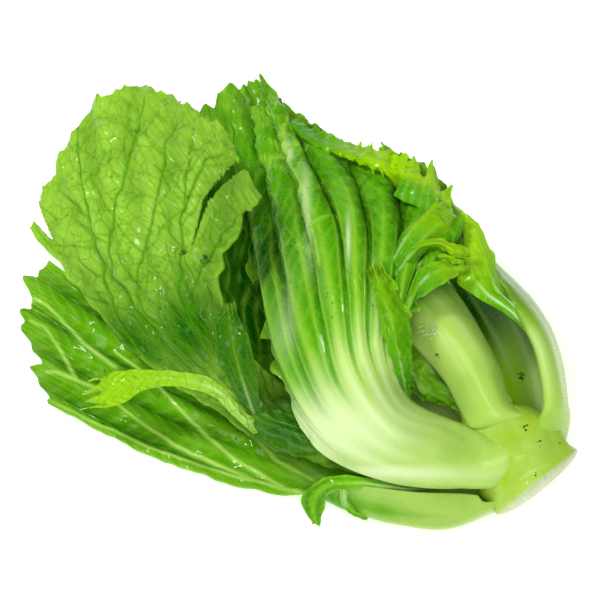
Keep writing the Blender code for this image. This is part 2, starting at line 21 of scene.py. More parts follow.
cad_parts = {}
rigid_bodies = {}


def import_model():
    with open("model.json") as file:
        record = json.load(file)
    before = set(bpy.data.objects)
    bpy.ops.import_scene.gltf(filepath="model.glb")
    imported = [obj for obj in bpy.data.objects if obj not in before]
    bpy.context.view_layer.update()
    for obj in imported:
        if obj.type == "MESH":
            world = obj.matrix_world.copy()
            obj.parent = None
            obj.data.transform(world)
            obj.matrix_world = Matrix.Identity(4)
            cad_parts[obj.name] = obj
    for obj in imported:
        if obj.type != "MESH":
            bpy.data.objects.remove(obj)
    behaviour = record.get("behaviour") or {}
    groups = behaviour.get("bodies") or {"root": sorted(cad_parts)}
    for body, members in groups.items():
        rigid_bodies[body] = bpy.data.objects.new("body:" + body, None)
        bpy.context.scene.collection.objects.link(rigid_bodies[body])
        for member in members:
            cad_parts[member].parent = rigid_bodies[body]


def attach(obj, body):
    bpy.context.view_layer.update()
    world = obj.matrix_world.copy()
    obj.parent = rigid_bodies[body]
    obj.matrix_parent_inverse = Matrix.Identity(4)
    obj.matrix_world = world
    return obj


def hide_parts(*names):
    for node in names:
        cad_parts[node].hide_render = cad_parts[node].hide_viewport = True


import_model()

bl_info = {
    "name": "Mustard greens",
    "version": (1, 0, 0),
    "blender": (4, 5, 0),
    "location": "3D Viewport > Sidebar > Greens",
    "description": "Builds the leaves, stump, light and camera of a cut head of mustard greens",
    "category": "Object",
}

MM = 0.001

# The stage, in metres: half the floor's width and how rough it is, each lamp's size and its way from the
# head to the board's right, up and towards the eye, and the camera's film in mm and nearest sight
FLOOR_REACH, FLOOR_ROUGHNESS = 3.0, 0.8
LAMPS = {
    "key light": (0.17, -0.45, 0.5, 0.65),
    "top light": (0.5, 0.0, 0.1, 1.1),
    "fill light": (0.9, 0.35, -0.4, 0.8),
}
FILM_WIDTH = 36
NEAREST_SIGHT = 0.01

# The drawing board: how steeply the eye looks down, how far off it is, and the board centre's height
SIGHT_ELEVATION = math.radians(60)
EYE_DISTANCE = 850.0
BOARD_HEIGHT = 40.0
BOARD_SQUARE = 0.5
BOARD_MIDDLE = 300

# The part frame: the head's axis is turned to lie along X, stump at +X, and centred over the origin
HEAD_TURN = math.radians(50.8)
HEAD_CENTRE = (-6.2, -9.3)

# The stump: where its cut face is centred, which way its axis runs on the board, and its size
CUT_CENTRE = (121.3, -94.5, 27.0)
STUMP_AXIS = (-0.619, 0.758, 0.218)
STUMP_LENGTH = 60.0
STUMP_OUTLINE = (
    (5, 57), (9, 50), (15, 42), (20.5, 34), (24, 26), (24.5, 16), (23.5, 8), (24, 3), (23.5, 0.6), (23, 0),
)
# The cut face in the scene: how far up the skin ends, over how long a step, and the bulging face's outline
CUT_TRIM = 4.0
CUT_EDGE = 0.3
NEAR_AXIS = 0.001
CUT_FACE = ((23.6, 4.0), (23.2, 3.2), (21, 2.0), (17, 1.0), (12, 0.3), (6, -0.1), (NEAR_AXIS, -0.2))
# The stump's cells around and along
STUMP_GRID = (160, 90)
# Its lumps: their length, their height as a share of its radius, their seed, and its middling radius
LUMP_LENGTH, LUMP_HEIGHT, LUMP_SEED, LUMP_RADIUS = 16.0, 0.03, 7, 20
# Its specked places, in squares with their reach right and down, and how far round towards the eye they lie
SPECKS = (
    ((511, 414), (5, 2.5)), ((522, 428), (4, 2.5)), ((540, 442), (4, 3)), ((536, 472), (3, 3)),
    ((560, 440), (3, 3)),
)
SPECKS_FACE = (0.1, 0.3)
# Where a leaf starts in the stump: how far below its seat, how much nearer the axis, and its collar above
ROOT_DEPTH = 4.0
ROOT_NARROWING = 0.5
COLLAR_REACH = 1.0
# An edge between two cells that fold by more than this is sharp
SHARP_ANGLE = math.radians(60)

# How much closer together specks lie on a leaf than on the stump
SPECK_CROWDING = 10.0
WATER_BENDS = 1.33
# A cell is torn out where it is closer to the line of a tear than this, 1 being on the line
TORN_OVER = 0.37

# Stretches of a leaf's length over which it changes, counted from where its stalk has thinned out
THINNING = (-0.25, 0.10)
FOLDING = (-0.10, 0.25)

# Shares of the whole leaf: where its root has filled out, and how full it is at first, where its waved margin
# begins, where a rib fades, and how much of its waves' height the margin takes on
ROOT_FULL = 0.12
ROOT_SHARE = 0.4
MARGIN_FROM = 0.75
RIB_FADES = 0.6
WAVE_SHARE = 0.7

# Stretches of a leaf's length, or of its half width, over which something sets in
TIP_BITTEN, SIDES_BITTEN = (0.5, 1.0), (0.35, 0.6)
TIP_TOOTHED, SIDES_TOOTHED = (0.88, 1.0), (0.8, 1.0)
TIP_FRILLED, SIDES_FRILLED = (0.8, 1.0), (0.8, 1.0)
TIP_EDGE, SIDES_EDGE = (0.9, 1.0), (0.92, 1.0)
OVERHANG_ENDS = (0.85, 1.0)
PLEATS_CHANGE = (0.4, 0.8)
RIBS_NARROW, RIBS_GREEN = (0.3, 1.0), (0.45, 0.8)
FINE_RIBS_BEGIN, FINE_RIBS_END = (0.3, 0.45), (0.6, 0.85)
YOUNG_FROM = (0.2, 0.8)

# Waves and bumps: how many waves a side's bites, its margin and a fold's sway have, how far the sway shifts
# from one fold to the next, and the fine bumps' height and length as shares of the coarse ones'
SIDE_BITE_WAVES, SIDE_WAVES, SWAY_WAVES = 7, 6, 2
SWAY_SHIFT = 0.37
FINE_BUMPS, FINE_BUMP_LENGTH = 0.5, 0.45

# Dew: the length of its patches, how high their noise must be, how green the blade, how level the surface
DEW_PATCH_LENGTH = 16.0
DEW_PATCHES, DEW_ON_GREEN, DEW_ON_LEVEL = (0.2, 0.5), (0.5, 1.0), (0.1, 0.4)

# Ribs and veins: the share of its width that a rib loses towards the tip, half widths of a fine rib and of a
# side vein in millimetres, how plain fine ribs and a drawn vein's side veins are, and how those thin out
RIB_NARROWING = 0.75
FINE_RIB_WIDTH, FINE_RIB_SHOW = 0.8, 0.7
SIDE_VEIN_WIDTH = 0.7
TWIG_SHOW, TWIG_THINNING = 0.75, 0.6
# How far side veins are shifted from rib to rib, and how far they stray, as shares of their spacing, and the
# length of their straying
SIDE_VEIN_SHIFT, SIDE_VEIN_STRAY, STRAY_LENGTH = 0.23, 0.25, 25.0

# A drawn vein's side veins: how many steps each takes, how it leans and bends in degrees, how much its
# steps stray, how long a step is as a share of its reach, and how uneven the gaps between them are
TWIG_STEPS = 5
TWIG_LEAN, TWIG_BEND, TWIG_STRAY = (32, 68), (-10, 30), (-9, 9)
TWIG_STEP, TWIG_START, TWIG_GAP = (0.16, 0.26), (0.3, 0.9), (0.7, 1.35)

# Finish of a leaf: scales of its noises, how far the streaks are drawn out, how patchy its green is, how wide
# the net's lines are, and where along the leaf its ribs take on their colour
PATCH_SCALE, GRAIN_SCALE = 55.0, 0.9
STREAK_STRETCH = (1.1, 0.05, 1.0)
GREEN_PATCHES = 0.12
NET_LINE = 0.07
RIBS_COLOUR = (0.35, 0.48)
# How far streaks, ribs, pale places with their painted highlights, veins and the margin's pale edge cover
# what is under them
STREAK_SHOW, RIB_COVER, PALE_AND_HIGHLIGHT_COVER, VEIN_COVER, EDGE_COVER = 0.25, 0.75, 0.9, 0.9, 0.25
# Heights of the net's lines and of the streaks beside the grain's, and of all of it in metres
NET_HEIGHT, STREAK_HEIGHT, LEAF_BUMP = -0.3, 0.6, 0.0005
LEAF_ROUGHNESS, STALK_BUMPINESS = (0.18, 0.4), 0.04

# Finish of the stump and of the scattered shapes
RAY_STRETCH = (14.0, 0.0, 0.05)
STUMP_ROUGHNESS, STUMP_BUMP = (0.3, 0.55), 0.0004
MOTTLE_SCALE = 1500.0

# Scattered shapes: how small and how large they are beside the middling one
SIZE_SPREAD = (0.4, 1.5)
DEW_BEAD = {"Segments": 10, "Rings": 6, "Radius": 1.0}
SPECK = {"Segments": 8, "Rings": 4, "Radius": 1.0}
HAIR = {"Vertices": 5, "Side_Segments": 3, "Radius_Top": 0.012, "Radius_Bottom": 0.065, "Depth": 1.0}
HAIR_LEAN = 0.7

# The wet surface that all the leaves and the stump have
WET_SURFACE = {
    "Subsurface Weight": 0.1,
    "Subsurface Radius": (0.6, 1.0, 0.2),
    "Subsurface Scale": 0.003,
    "Coat Weight": 0.18,
    "Coat Roughness": 0.06,
    "Specular IOR Level": 0.1,
    "Specular Tint": (0.45, 1.0, 0.1, 1),
}

# Leaves. Each rib runs from the stump to the margin, and the ribs go from one side of the leaf to the other.
# seat: for its first and its last rib, how far up the stump it leaves it, the radius there, and the angle
# stalk, stalk_ends: the stalk's thickness, and the share of the leaf's length at which it has thinned out
# pleat, rib, ruffle: depth of the folds between ribs, a rib's extra thickness, height of the margin's waves
# bites, teeth: depth of the broad notches at the tip as a share of the leaf, and how many there are
# grid: cells across and along
# tip_teeth: how many small teeth the tip has, and their depth as a share of the length
# side_teeth: how many each side has, first side and last side, and their depth as a share of the width
# green, green_in_folds: where along the leaf the blade's green sets in, and how much sooner in the folds
# rib_width, rib_show, rib_rise, rib_from: a rib's half width, how pale it shows, its height, where it starts
# vein_widths, vein_rise, vein_tone: half widths of a drawn vein in squares, its height, and its colour
# twig_every, twig_reach: distance between a drawn vein's side veins, and how long they are, in squares
# side_veins, side_vein_show: lean and spacing of the side veins between ribs, and how plain they are
# frill, frill_count: strength of the small waves on the margin, and how many there are
# crinkle_from: the stretch of its length over which its bumps set in
# crinkle, crinkle_length: strength of the blade's bumps, and their length
# overhang, roundness: how far the ribs lean over the folds between them, and how full the stalk's sides are
# bite_waves, sway: how uneven the broad notches are, and how far a fold wanders from its rib
# pale_side, rib_greens: where across the leaf it turns pale, and how much its ribs green towards the tip
# blade_tone, fold_shade, blotches: the blade's colour, how dark the painted shade in its folds is, and how
# patchy it is
# side_bites: how much of the broad notches the sides have
# shades: places in squares where shade is painted on the blade in dark green, each with its reach right and
# down and, where weaker, its strength; some on the broad leaf also stand for a darker green of the blade
# itself
# pale_and_highlit_spots, gloom: places where it is palest, pale stalk and ribs and painted highlights on
# the front leaf's ridges, given as its shades are, and how much painted shade it has all over
# seat_dip, bumpiness: how far its foot bulges down the stump, and how rough the blade is
# root_full, fine_ribs: where its root has filled out, and how many fine ribs there are to each fold
# hairs, specks: places where it is hairy, and where it has dark specks, given as its shades are
# vein_leaves: how much of a drawn vein shows on the stalk
# young: how yellow the blade is
# pleat_top, fold_shade_power: depth of the folds towards the tip where it differs, and how narrow the painted
# shade in them is
# net_scale, net_show: how fine the net veins are, and how plain they are
# veins: the drawn veins, each as a line in squares
# tears: slits, each as a line in squares with its half width at the start and at the end
# painted_light_spots: places painted all yellow-green, as painted light in the right leaf's shaded hollow,
# given as its shades are
LEAF_HABIT = {
    "overhang": 0.0,
    "roundness": 3,
    "bite_waves": 0.5,
    "sway": 0.0,
    "pale_side": (1.5, 2.0),
    "rib_greens": 0.6,
    "tip_teeth": (14, 0.02),
    "side_teeth": (9, 9, 0.05),
    "green": (0.4, 0.6),
    "green_in_folds": 0.15,
    "rib_width": 3.0,
    "rib_show": 1.0,
    "rib_rise": 0.6,
    "rib_from": 0.3,
    "vein_widths": (1.6, 0.9),
    "vein_rise": 0.3,
    "vein_tone": "pale",
    "twig_every": 22,
    "twig_reach": 30,
    "side_veins": (1.3, 9.0),
    "side_vein_show": 0.6,
    "frill": 1.0,
    "frill_count": 10,
    "crinkle": 1.0,
    "crinkle_from": (-1.0, 0.0),
    "crinkle_length": 14.0,
    "young": 0.0,
    "blade_tone": "blade",
    "fold_shade": 0.75,
    "fold_shade_power": 1.0,
    "blotches": 0.2,
    "side_bites": 1.0,
    "shades": (),
    "pale_and_highlit_spots": (),
    "gloom": 0.0,
    "painted_light_spots": (),
    "root_full": ROOT_FULL,
    "seat_dip": 0.0,
    "bumpiness": 0.6,
    "fine_ribs": 0,
    "vein_leaves": 0.3,
    "hairs": (),
    "specks": (),
    "net_scale": 0.28,
    "net_show": 0.35,
}

FRONT_LEAF = LEAF_HABIT | {
    "name": "front_leaf",
    "seat": ((18, 24), (26, 23), (186, 92)),
    "ribs": [
        [(72, -98, 33), (44, -94, 34), (15, -81, 35), (-9, -55, 37),
         (-21, -22, 38), (-31, 19, 34), (-42, 60, 28)],
        [(70, -91, 46), (41, -83, 50), (12, -66, 52), (-8, -34, 52),
         (-19, 7, 46), (-25, 50, 38), (-38, 104, 32)],
        [(71, -84, 54), (42, -74, 60), (17, -52, 66), (2, -18, 70),
         (-7, 19, 66), (-15, 62, 54), (-29, 115, 40)],
        [(73, -76, 57), (44, -64, 66), (24, -38, 76), (16, 0, 86),
         (9, 37, 84), (-6, 75, 70), (-17, 117, 48)],
        [(75, -69, 56), (47, -57, 66), (32, -29, 79), (28, 9, 91), (26, 44, 90), (17, 68, 77), (5, 90, 60)],
        [(77, -65, 53), (50, -53, 63), (39, -26, 78), (40, 6, 92),
         (42, 37, 93), (40, 60, 82), (36, 79, 68)],
        [(81, -63, 50), (54, -50, 57), (46, -27, 76), (50, 0, 92),
         (56, 28, 95), (63, 50, 88), (68, 68, 74)],
        [(84, -62, 46), (56, -49, 51), (50, -30, 72), (53, -8, 88),
         (63, 14, 94), (74, 32, 92), (85, 45, 84)],
        [(87, -61, 42), (58, -49, 45), (55, -34, 62), (57, -15, 77),
         (64, 2, 85), (75, 9, 88), (88, 17, 86)],
    ],
    "stalk": 9.0,
    "stalk_ends": 0.42,
    "pleat": 4.5,
    "rib": 1.2,
    "ruffle": 3.0,
    "bites": 0.07,
    "teeth": 9,
    "seed": 3,
    "grid": (184, 168),
    "tip_teeth": (30, 0.02),
    "side_teeth": (9, 12, 0.10),
    "green": (0.385, 0.50),
    "green_in_folds": 0.08,
    "rib_width": 2.4,
    "rib_rise": 1.0,
    "frill": 2.4,
    "frill_count": 12,
    "pleat_top": 9.0,
    "sway": 0.1,
    "side_vein_show": 0.25,
    "net_show": 0.08,
    "rib_greens": 0.9,
    "blotches": 0.12,
    "shades": (((262, 250), (26, 48)),),
    "overhang": 0.4,
    "fold_shade_power": 1.2,
    # The pale belly, lower edge and ribs, and painted highlights along the ridges
    "pale_and_highlit_spots": (
        ((335, 430), (70, 34)), ((385, 474), (90, 8)), ((305, 212), (5, 38)), ((286, 152), (6, 11)),
        ((348, 240), (2.5, 22)), ((374, 284), (2.5, 18)), ((284, 318), (9, 40), 0.4),
    ),
    "fine_ribs": 3,
    "veins": (
        [(318, 262), (313, 235), (307, 212), (298, 180), (284, 150)],
        [(284, 150), (270, 128), (264, 100)],
        [(284, 150), (284, 128), (290, 108)],
        [(284, 150), (262, 160), (250, 172)],
        [(284, 150), (300, 140), (318, 138)],
    ),
    "vein_widths": (2.4, 1.0),
    "root_full": 0.05,
    "rib_show": 0.8,
    "seat_dip": 7.0,
    "crinkle": 2.0,
    "crinkle_length": 11.0,
    "bumpiness": 0.9,
    "crinkle_from": (0.55, 0.9),
    "fold_shade": 0.9,
}

TOP_LEAF = LEAF_HABIT | {
    "name": "top_leaf",
    "seat": ((42, 27), (18, 23), (140, 46)),
    "ribs": [
        [(79, -57, 46), (71, -42, 53), (57, -25, 60), (38, -8, 56), (18, 15, 50), (0, 42, 42)],
        [(90, -55, 56), (81, -35, 65), (68, -15, 72), (46, 5, 69), (25, 32, 62), (11, 62, 52)],
        [(101, -53.5, 57), (91, -29, 67), (77, -8, 73), (56, 14, 71), (38, 42, 64), (30, 67, 54)],
        [(110, -53, 48), (101, -31, 57), (87.5, -6, 62), (68.5, 19.5, 62), (53, 45, 59), (47, 65, 50)],
    ],
    "stalk": 6.5,
    "stalk_ends": 0.6,
    "pleat": 2.0,
    "rib": 0.6,
    "ruffle": 2.0,
    "bites": 0.06,
    "teeth": 4,
    "seed": 5,
    "grid": (110, 130),
    "green": (0.4, 0.66),
    "green_in_folds": 0.08,
    "rib_show": 0.3,
    "crinkle": 0.5,
    "roundness": 5,
    "blotches": 0.08,
    "hairs": (((430, 330), (7, 6)),),
    "specks": (((438, 356), (1.6, 1.6)),),
}

RIGHT_LEAF = LEAF_HABIT | {
    "name": "right_leaf",
    "seat": ((14, 27), (23, 24), (-48, 62)),
    "ribs": [
        [(103, -47, 6), (90, -22, 3), (74, 5, 3), (56, 37, 6), (40, 67, 11), (29, 82, 16)],
        [(111, -50, 10), (102, -27, 7), (87, 0, 8), (67, 32, 13), (50, 64, 20), (42, 80, 24)],
        [(120, -53, 24), (115, -31, 24), (102, -3, 28), (82, 27, 34), (62, 60, 36), (55, 75, 36)],
        [(125, -54, 40), (122, -31, 42), (111, -4, 46), (92, 23, 50), (72, 49, 48), (62, 66, 46)],
        [(123, -52, 55), (119, -29, 63), (109, -5, 66), (94, 19, 64), (80, 40, 58), (69, 56, 54)],
        [(120, -51, 63), (116, -27, 74), (105, -6, 78), (96, 15, 74), (88, 34, 68), (80, 47, 60)],
    ],
    "stalk": 9.0,
    "stalk_ends": 0.62,
    "pleat": 2.5,
    "rib": 0.8,
    "ruffle": 2.0,
    "bites": 0.06,
    "teeth": 6,
    "seed": 8,
    "grid": (130, 130),
    "green": (0.2, 0.62),
    "green_in_folds": 0.1,
    "rib_show": 0.5,
    "crinkle": 0.4,
    "pale_side": (0.5, 0.75),
    "blotches": 0.0,
    "roundness": 9,
    "pale_and_highlit_spots": (((557, 385), (9, 45)),),
    "side_teeth": (9, 8, 0.16),
    "root_full": 0.02,
    "shades": (((480, 312), (50, 44)),),
    "specks": (((521, 377), (1.8, 3.4)),),
    # Painted light: the shaded hollow painted bright yellow-green
    "painted_light_spots": (((513, 388), (19, 66), 0.95),),
}

LOWER_LEAF = LEAF_HABIT | {
    "name": "lower_leaf",
    "seat": ((11, 8), (25.5, 24.5), (176, 245)),
    "ribs": [
        [(89, -96, 32), (58, -94, 31), (22, -91, 26), (-5, -97, 11), (-65, -82, 6), (-131, -50, 8)],
        [(77, -106, 18), (50, -105, 16), (22, -99, 13), (-8, -87, 6), (-68, -65, 5), (-138, -30, 12)],
        [(79, -106, 9), (51, -103, 6), (22, -94, 5.5), (-10, -77, 4), (-70, -50, 8), (-144, -8, 16)],
        [(83, -100, 7), (54, -92, 5.5), (24, -80, 6), (-12, -65, 7), (-72, -35, 13), (-142, 10, 22)],
        [(88, -91, 9), (58, -82, 8), (28, -70, 8.5), (-13, -54, 11), (-70, -20, 20), (-131, 25, 24)],
    ],
    "stalk": 7.0,
    "stalk_ends": 0.45,
    "pleat": 2.5,
    "rib": 1.0,
    "ruffle": 1.5,
    "bites": 0.04,
    "teeth": 6,
    "seed": 13,
    "grid": (150, 180),
    "tip_teeth": (9, 0.012),
    "green": (0.2, 0.4),
    "green_in_folds": 0.12,
    "rib_width": 2.4,
    "crinkle": 0.8,
    "side_vein_show": 0.2,
    "net_show": 0.03,
    "rib_greens": 0.1,
    "side_teeth": (9, 9, 0.0),
    "side_bites": 0.0,
    "blotches": 0.1,
    "vein_widths": (2.4, 1.5),
    "twig_reach": 4,
    "veins": (
        [(300, 492), (250, 480), (200, 465), (150, 447), (100, 425), (60, 405), (42, 395)],
        [(290, 490), (255, 480), (225, 467), (175, 445), (140, 422), (115, 402)],
        [(282, 486), (235, 460), (190, 420), (162, 390), (140, 370), (115, 352)],
        [(312, 480), (277, 460), (247, 430), (215, 387)],
        [(120, 395), (77, 380), (60, 350), (45, 327), (30, 320)],
        [(115, 367), (82, 342), (47, 305), (35, 300), (24, 305)],
        [(77, 380), (56, 372), (46, 372)],
    ),
    "overhang": 0.4,
    "roundness": 6,
    "blade_tone": "grassy",
    "twig_every": 500,
    "rib_show": 0.2,
    "bumpiness": 0.8,
    # Painted shade all over the lower leaf
    "gloom": 0.18,
    "vein_tone": "white",
}

BROAD_LEAF = LEAF_HABIT | {
    "name": "broad_leaf",
    "seat": ((28, 28), (24.5, 24.5), (205, 250)),
    "ribs": [
        [(70, -92, 18), (20, -86, 18), (-18, -72, 20), (-50, -52, 24),
         (-84, -28, 28), (-112, 4, 30), (-141, 40, 32)],
        [(70, -88, 22), (20, -79, 24), (-20, -65, 28), (-54, -40, 33),
         (-85, -9, 37), (-110, 25, 39), (-133, 58, 38)],
        [(71, -84, 25), (21, -73, 28), (-20, -60, 32), (-55, -33, 40),
         (-85, 4, 46), (-106, 46, 50), (-119, 85, 47)],
        [(73, -80, 26), (23, -68, 29), (-19, -57, 34), (-53, -28, 44),
         (-79, 13, 53), (-95, 62, 58), (-96, 113, 53)],
        [(75, -75, 26), (25, -63, 28), (-17, -54, 33), (-47, -25, 47),
         (-67, 17, 60), (-76, 65, 68), (-68, 112, 60)],
        [(78, -70, 24), (27, -59, 27), (-15, -51, 31), (-37, -23, 49),
         (-54, 14, 64), (-55, 56, 78), (-41, 96, 76)],
        [(80, -66, 22), (33, -53, 20), (-8, -41, 22), (-27, -22, 49),
         (-39, 8, 66), (-27, 34, 84), (-15, 52, 90)],
    ],
    "stalk": 5.0,
    "stalk_ends": 0.4,
    "pleat": 1.8,
    "rib": 1.0,
    "ruffle": 0.8,
    "bites": 0.05,
    "teeth": 8,
    "seed": 21,
    "grid": (200, 190),
    "tip_teeth": (34, 0.008),
    "green": (0.0, 0.12),
    "green_in_folds": 0.1,
    "rib_width": 1.2,
    "rib_show": 0.1,
    "vein_rise": -1.2,
    "vein_tone": "dark",
    "crinkle": 1.9,
    "side_teeth": (14, 14, 0.03),
    "veins": (
        [(147, 363), (118, 322), (103, 275), (92, 240), (86, 210), (79, 165), (77, 117)],
        [(165, 352), (130, 305), (110, 277), (109, 240), (115, 202), (130, 147), (145, 97)],
        [(190, 350), (150, 320), (135, 297), (140, 255), (150, 225), (160, 180), (165, 145), (177, 122)],
        [(205, 345), (190, 320), (179, 290), (181, 250), (181, 205), (187, 165), (194, 129)],
        [(181, 210), (190, 190), (207, 160), (240, 145)],
        [(215, 345), (187, 305), (200, 270), (222, 235), (245, 205)],
    ),
    "blade_tone": "light",
    "tears": (
        ([(249, 161), (232, 171), (217, 186), (206, 200), (200, 218), (195, 236), (193, 243)], 5.5, 1.0),
        ([(210, 78), (198, 88), (187, 97), (183, 101)], 9.0, 2.5),
        ([(28, 200), (38, 218), (51, 238)], 9.0, 1.0),
    ),
    "bite_waves": 0.2,
    "net_show": 0.45,
    "pleat_top": 0.8,
    "fold_shade": 0.3,
    "blotches": 0.12,
    "vein_widths": (1.9, 1.0),
    "twig_every": 26,
    "twig_reach": 42,
    "side_vein_show": 0.15,
    "shades": (((120, 345), (80, 42)), ((190, 330), (45, 60)), ((285, 430), (75, 55)),
               ((236, 236), (34, 76), 0.5), ((140, 300), (90, 40), 0.35)),
    "net_scale": 0.13,
    "bumpiness": 1.0,
    "specks": (((204, 259), (1.8, 2.6)), ((184, 252), (4, 1.4))),
}

BACK_LEAF = LEAF_HABIT | {
    "name": "back_leaf",
    "seat": ((12, 12), (24.5, 24.5), (268, 308)),
    "ribs": [
        [(86, -78, 10), (52, -68, 8), (14, -63, 5), (-20, -47, 6), (-54, 10, 13), (-60, 90, 22)],
        [(92, -73, 7), (66, -50, 6), (36, -22, 5.5), (4, 14, 5), (-26, 66, 9), (-40, 117, 20)],
        [(99, -68, 6), (77, -40, 5), (52, -6, 4.5), (22, 36, 4), (-4, 78, 8), (-23, 113, 18)],
        [(102, -65, 7), (84, -36, 6), (60, 1, 6), (35, 42, 6), (12, 76, 10), (-6, 98, 17)],
        [(104, -62, 10), (88, -34, 9), (64, 4, 10), (40, 44, 12), (22, 70, 15), (10, 82, 21)],
    ],
    "stalk": 6.5,
    "stalk_ends": 0.5,
    "pleat": 1.5,
    "rib": 0.8,
    "ruffle": 1.5,
    "bites": 0.05,
    "teeth": 5,
    "seed": 34,
    "grid": (90, 110),
    "green": (0.3, 0.5),
    "crinkle": 0.8,
    "shades": (((252, 310), (45, 80)),),
    "net_show": 0.1,
}

# The heart: two crinkled leaves folded round each other, between the top leaf and the front leaf
HEART_HABIT = LEAF_HABIT | {
    "stalk_ends": 0.3,
    "rib": 0.4,
    "bites": 0.1,
    "green": (0.05, 0.25),
    "rib_show": 0.4,
    "blade_tone": "grassy",
}

HEART_OUTER = HEART_HABIT | {
    "name": "heart_leaf_outer",
    "seat": ((46, 46), (6, 6), (225, 300)),
    "ribs": [
        [(71, -54, 30), (55, -47, 30), (38, -28, 32), (22, -4, 32), (8, 20, 32)],
        [(74, -53, 36), (60, -43, 42), (45, -21, 46), (30, 3, 46), (16, 28, 44)],
        [(78, -51, 38), (66, -35, 46), (52, -10, 50), (37, 15, 50), (22, 40, 48)],
        [(82, -49, 36), (72, -30, 43), (60, -4, 47), (45, 22, 48), (28, 46, 46)],
        [(84, -48, 32), (76, -28, 34), (65, -2, 36), (49, 24, 38), (33, 50, 38)],
    ],
    "stalk": 3.0,
    "pleat": 2.5,
    "ruffle": 1.5,
    "teeth": 8,
    "seed": 55,
    "grid": (110, 100),
    "rib_width": 1.6,
    "crinkle": 2.2,
    "crinkle_length": 8.0,
    # Painted shade all over the heart leaf
    "gloom": 0.05,
    "young": 1.3,
}

HEART_INNER = HEART_HABIT | {
    "name": "heart_leaf_inner",
    "seat": ((42, 42), (9, 9), (245, 290)),
    "ribs": [
        [(73, -50, 26), (58, -39, 26), (43, -19, 27), (30, 1, 27), (20, 19, 28)],
        [(76, -48, 29), (63, -35, 30), (49, -14, 32), (36, 6, 32), (26, 25, 32)],
        [(78, -46, 29), (68, -31, 31), (55, -9, 33), (42, 12, 33), (32, 31, 33)],
        [(81, -46, 27), (73, -29, 27), (61, -6, 28), (48, 16, 29), (38, 36, 30)],
    ],
    "stalk": 1.6,
    "pleat": 1.2,
    "ruffle": 1.0,
    "teeth": 6,
    "seed": 89,
    "grid": (60, 60),
    "rib_width": 1.2,
    "crinkle": 1.6,
    "crinkle_length": 7.0,
    # Painted shade all over the heart leaf
    "gloom": 0.1,
    "young": 1.0,
}

# Torn lobes: narrow strips that spring from a leaf and stay part of it


def squares(places):
    """Places (right, down, lift) given in board squares, as guide points."""
    return [
        ((x - BOARD_MIDDLE) * BOARD_SQUARE, (BOARD_MIDDLE - y) * BOARD_SQUARE, lift)
        for x, y, lift in places
    ]


def lobe(ribs, thickness, grid, in_squares=False, **habit):
    """A lobe as a small leaf with no seat. Two edges alone get a middle rib, raised between them."""
    if in_squares:
        ribs = [squares(rib) for rib in ribs]
    if len(ribs) == 2:
        left, right = ribs
        middle = [tuple((a + b) / 2 for a, b in zip(p, q)) for p, q in zip(left, right)]
        ribs = [left, [(x, y, z + 1.0) for x, y, z in middle], right]
    return LEAF_HABIT | {
        "seat": None,
        "ribs": ribs,
        "stalk": thickness,
        "stalk_ends": 0.5,
        "pleat": 0.0,
        "rib": 0.0,
        "ruffle": 0.6,
        "bites": 0.0,
        "teeth": 2,
        "seed": 1,
        "grid": grid,
        "tip_teeth": (3, 0.03),
        "side_teeth": (6, 6, 0.2),
        "green": (-0.5, -0.2),
        "rib_width": 0.8,
        "rib_show": 0.5,
        "rib_rise": 0.3,
        "rib_from": 0.0,
        "side_veins": (1.3, 4.0),
        "side_vein_show": 0.15,
        "frill": 0.3,
        "frill_count": 4,
        "crinkle": 0.5,
        "crinkle_length": 8.0,
    } | habit


CURLED_LOBE = lobe(
    (
        [(-21, -70, 20), (-32, -60, 35), (-44, -49, 42), (-59, -44, 45),
         (-77, -46, 42), (-94, -55, 36), (-113, -55, 31)],
        [(-16, -65, 20), (-28, -54, 37), (-42, -40, 46), (-60, -35, 48),
         (-77, -34, 46), (-95, -34.5, 40), (-108, -42, 33)],
    ),
    2.4, (36, 100),
    seed=41, side_teeth=(4, 3, 0.35), tip_teeth=(3, 0.14), crinkle=1.2, side_vein_show=0.4, young=0.8,
)
# This lobe lies in a dark valley and has painted shade all over it
RAGGED_LOBE = lobe(
    (
        [(-24, -62, 22), (-33, -48, 43), (-42, -30, 56), (-45, -12, 65), (-37, -1, 73)],
        [(-17, -62, 24), (-19, -50, 43), (-20, -34, 57), (-25, -17, 66), (-34, -1, 73)],
    ),
    1.6, (34, 80), seed=42, side_teeth=(2, 4, 0.5), frill=1.0, gloom=0.9, crinkle=1.0,
)
HANGING_LOBE = lobe(
    (
        [(64, -95.5, 21), (48, -96, 27), (31, -95, 28), (15, -97, 26), (13, -103, 18), (10, -114, 9)],
        [(64, -94, 22), (48, -91.5, 28), (31, -88, 30), (11, -89, 28), (0, -98, 19), (6.5, -113, 9)],
    ),
    1.6, (24, 80), seed=43,
)
CURLED_TENDRIL = lobe(
    (
        [(20, -95, 29), (20.5, -101, 22), (24, -106, 16), (33.5, -110, 10)],
        [(24, -95, 29), (24, -100, 22), (27, -103.5, 16), (35, -108, 10)],
    ),
    1.2, (12, 40), seed=44,
)
FOLDED_LOBE = lobe(
    [
        [(42, 15, 85), (46, 24, 89), (50, 32, 90), (56, 39, 90), (63, 45, 89), (70, 50.5, 86)],
        [(43.5, 14, 88), (48.5, 24, 95), (53.5, 32, 97), (60, 40, 97), (66.5, 46, 95), (71.5, 50.5, 88)],
        [(45.5, 11.5, 88), (54, 22.5, 94), (61, 30, 96), (68, 37, 95), (73.5, 43, 92), (76, 46.5, 86)],
        [(48, 9.5, 86), (57, 18, 90), (65, 25, 91), (73, 30, 90), (78.5, 34.5, 87), (81, 39, 82)],
    ],
    1.4, (44, 52),
    seed=53, side_teeth=(3, 4, 0.10), frill=0.6, crinkle=0.7, crinkle_length=9.0, rib_show=0.55, young=0.6,
)
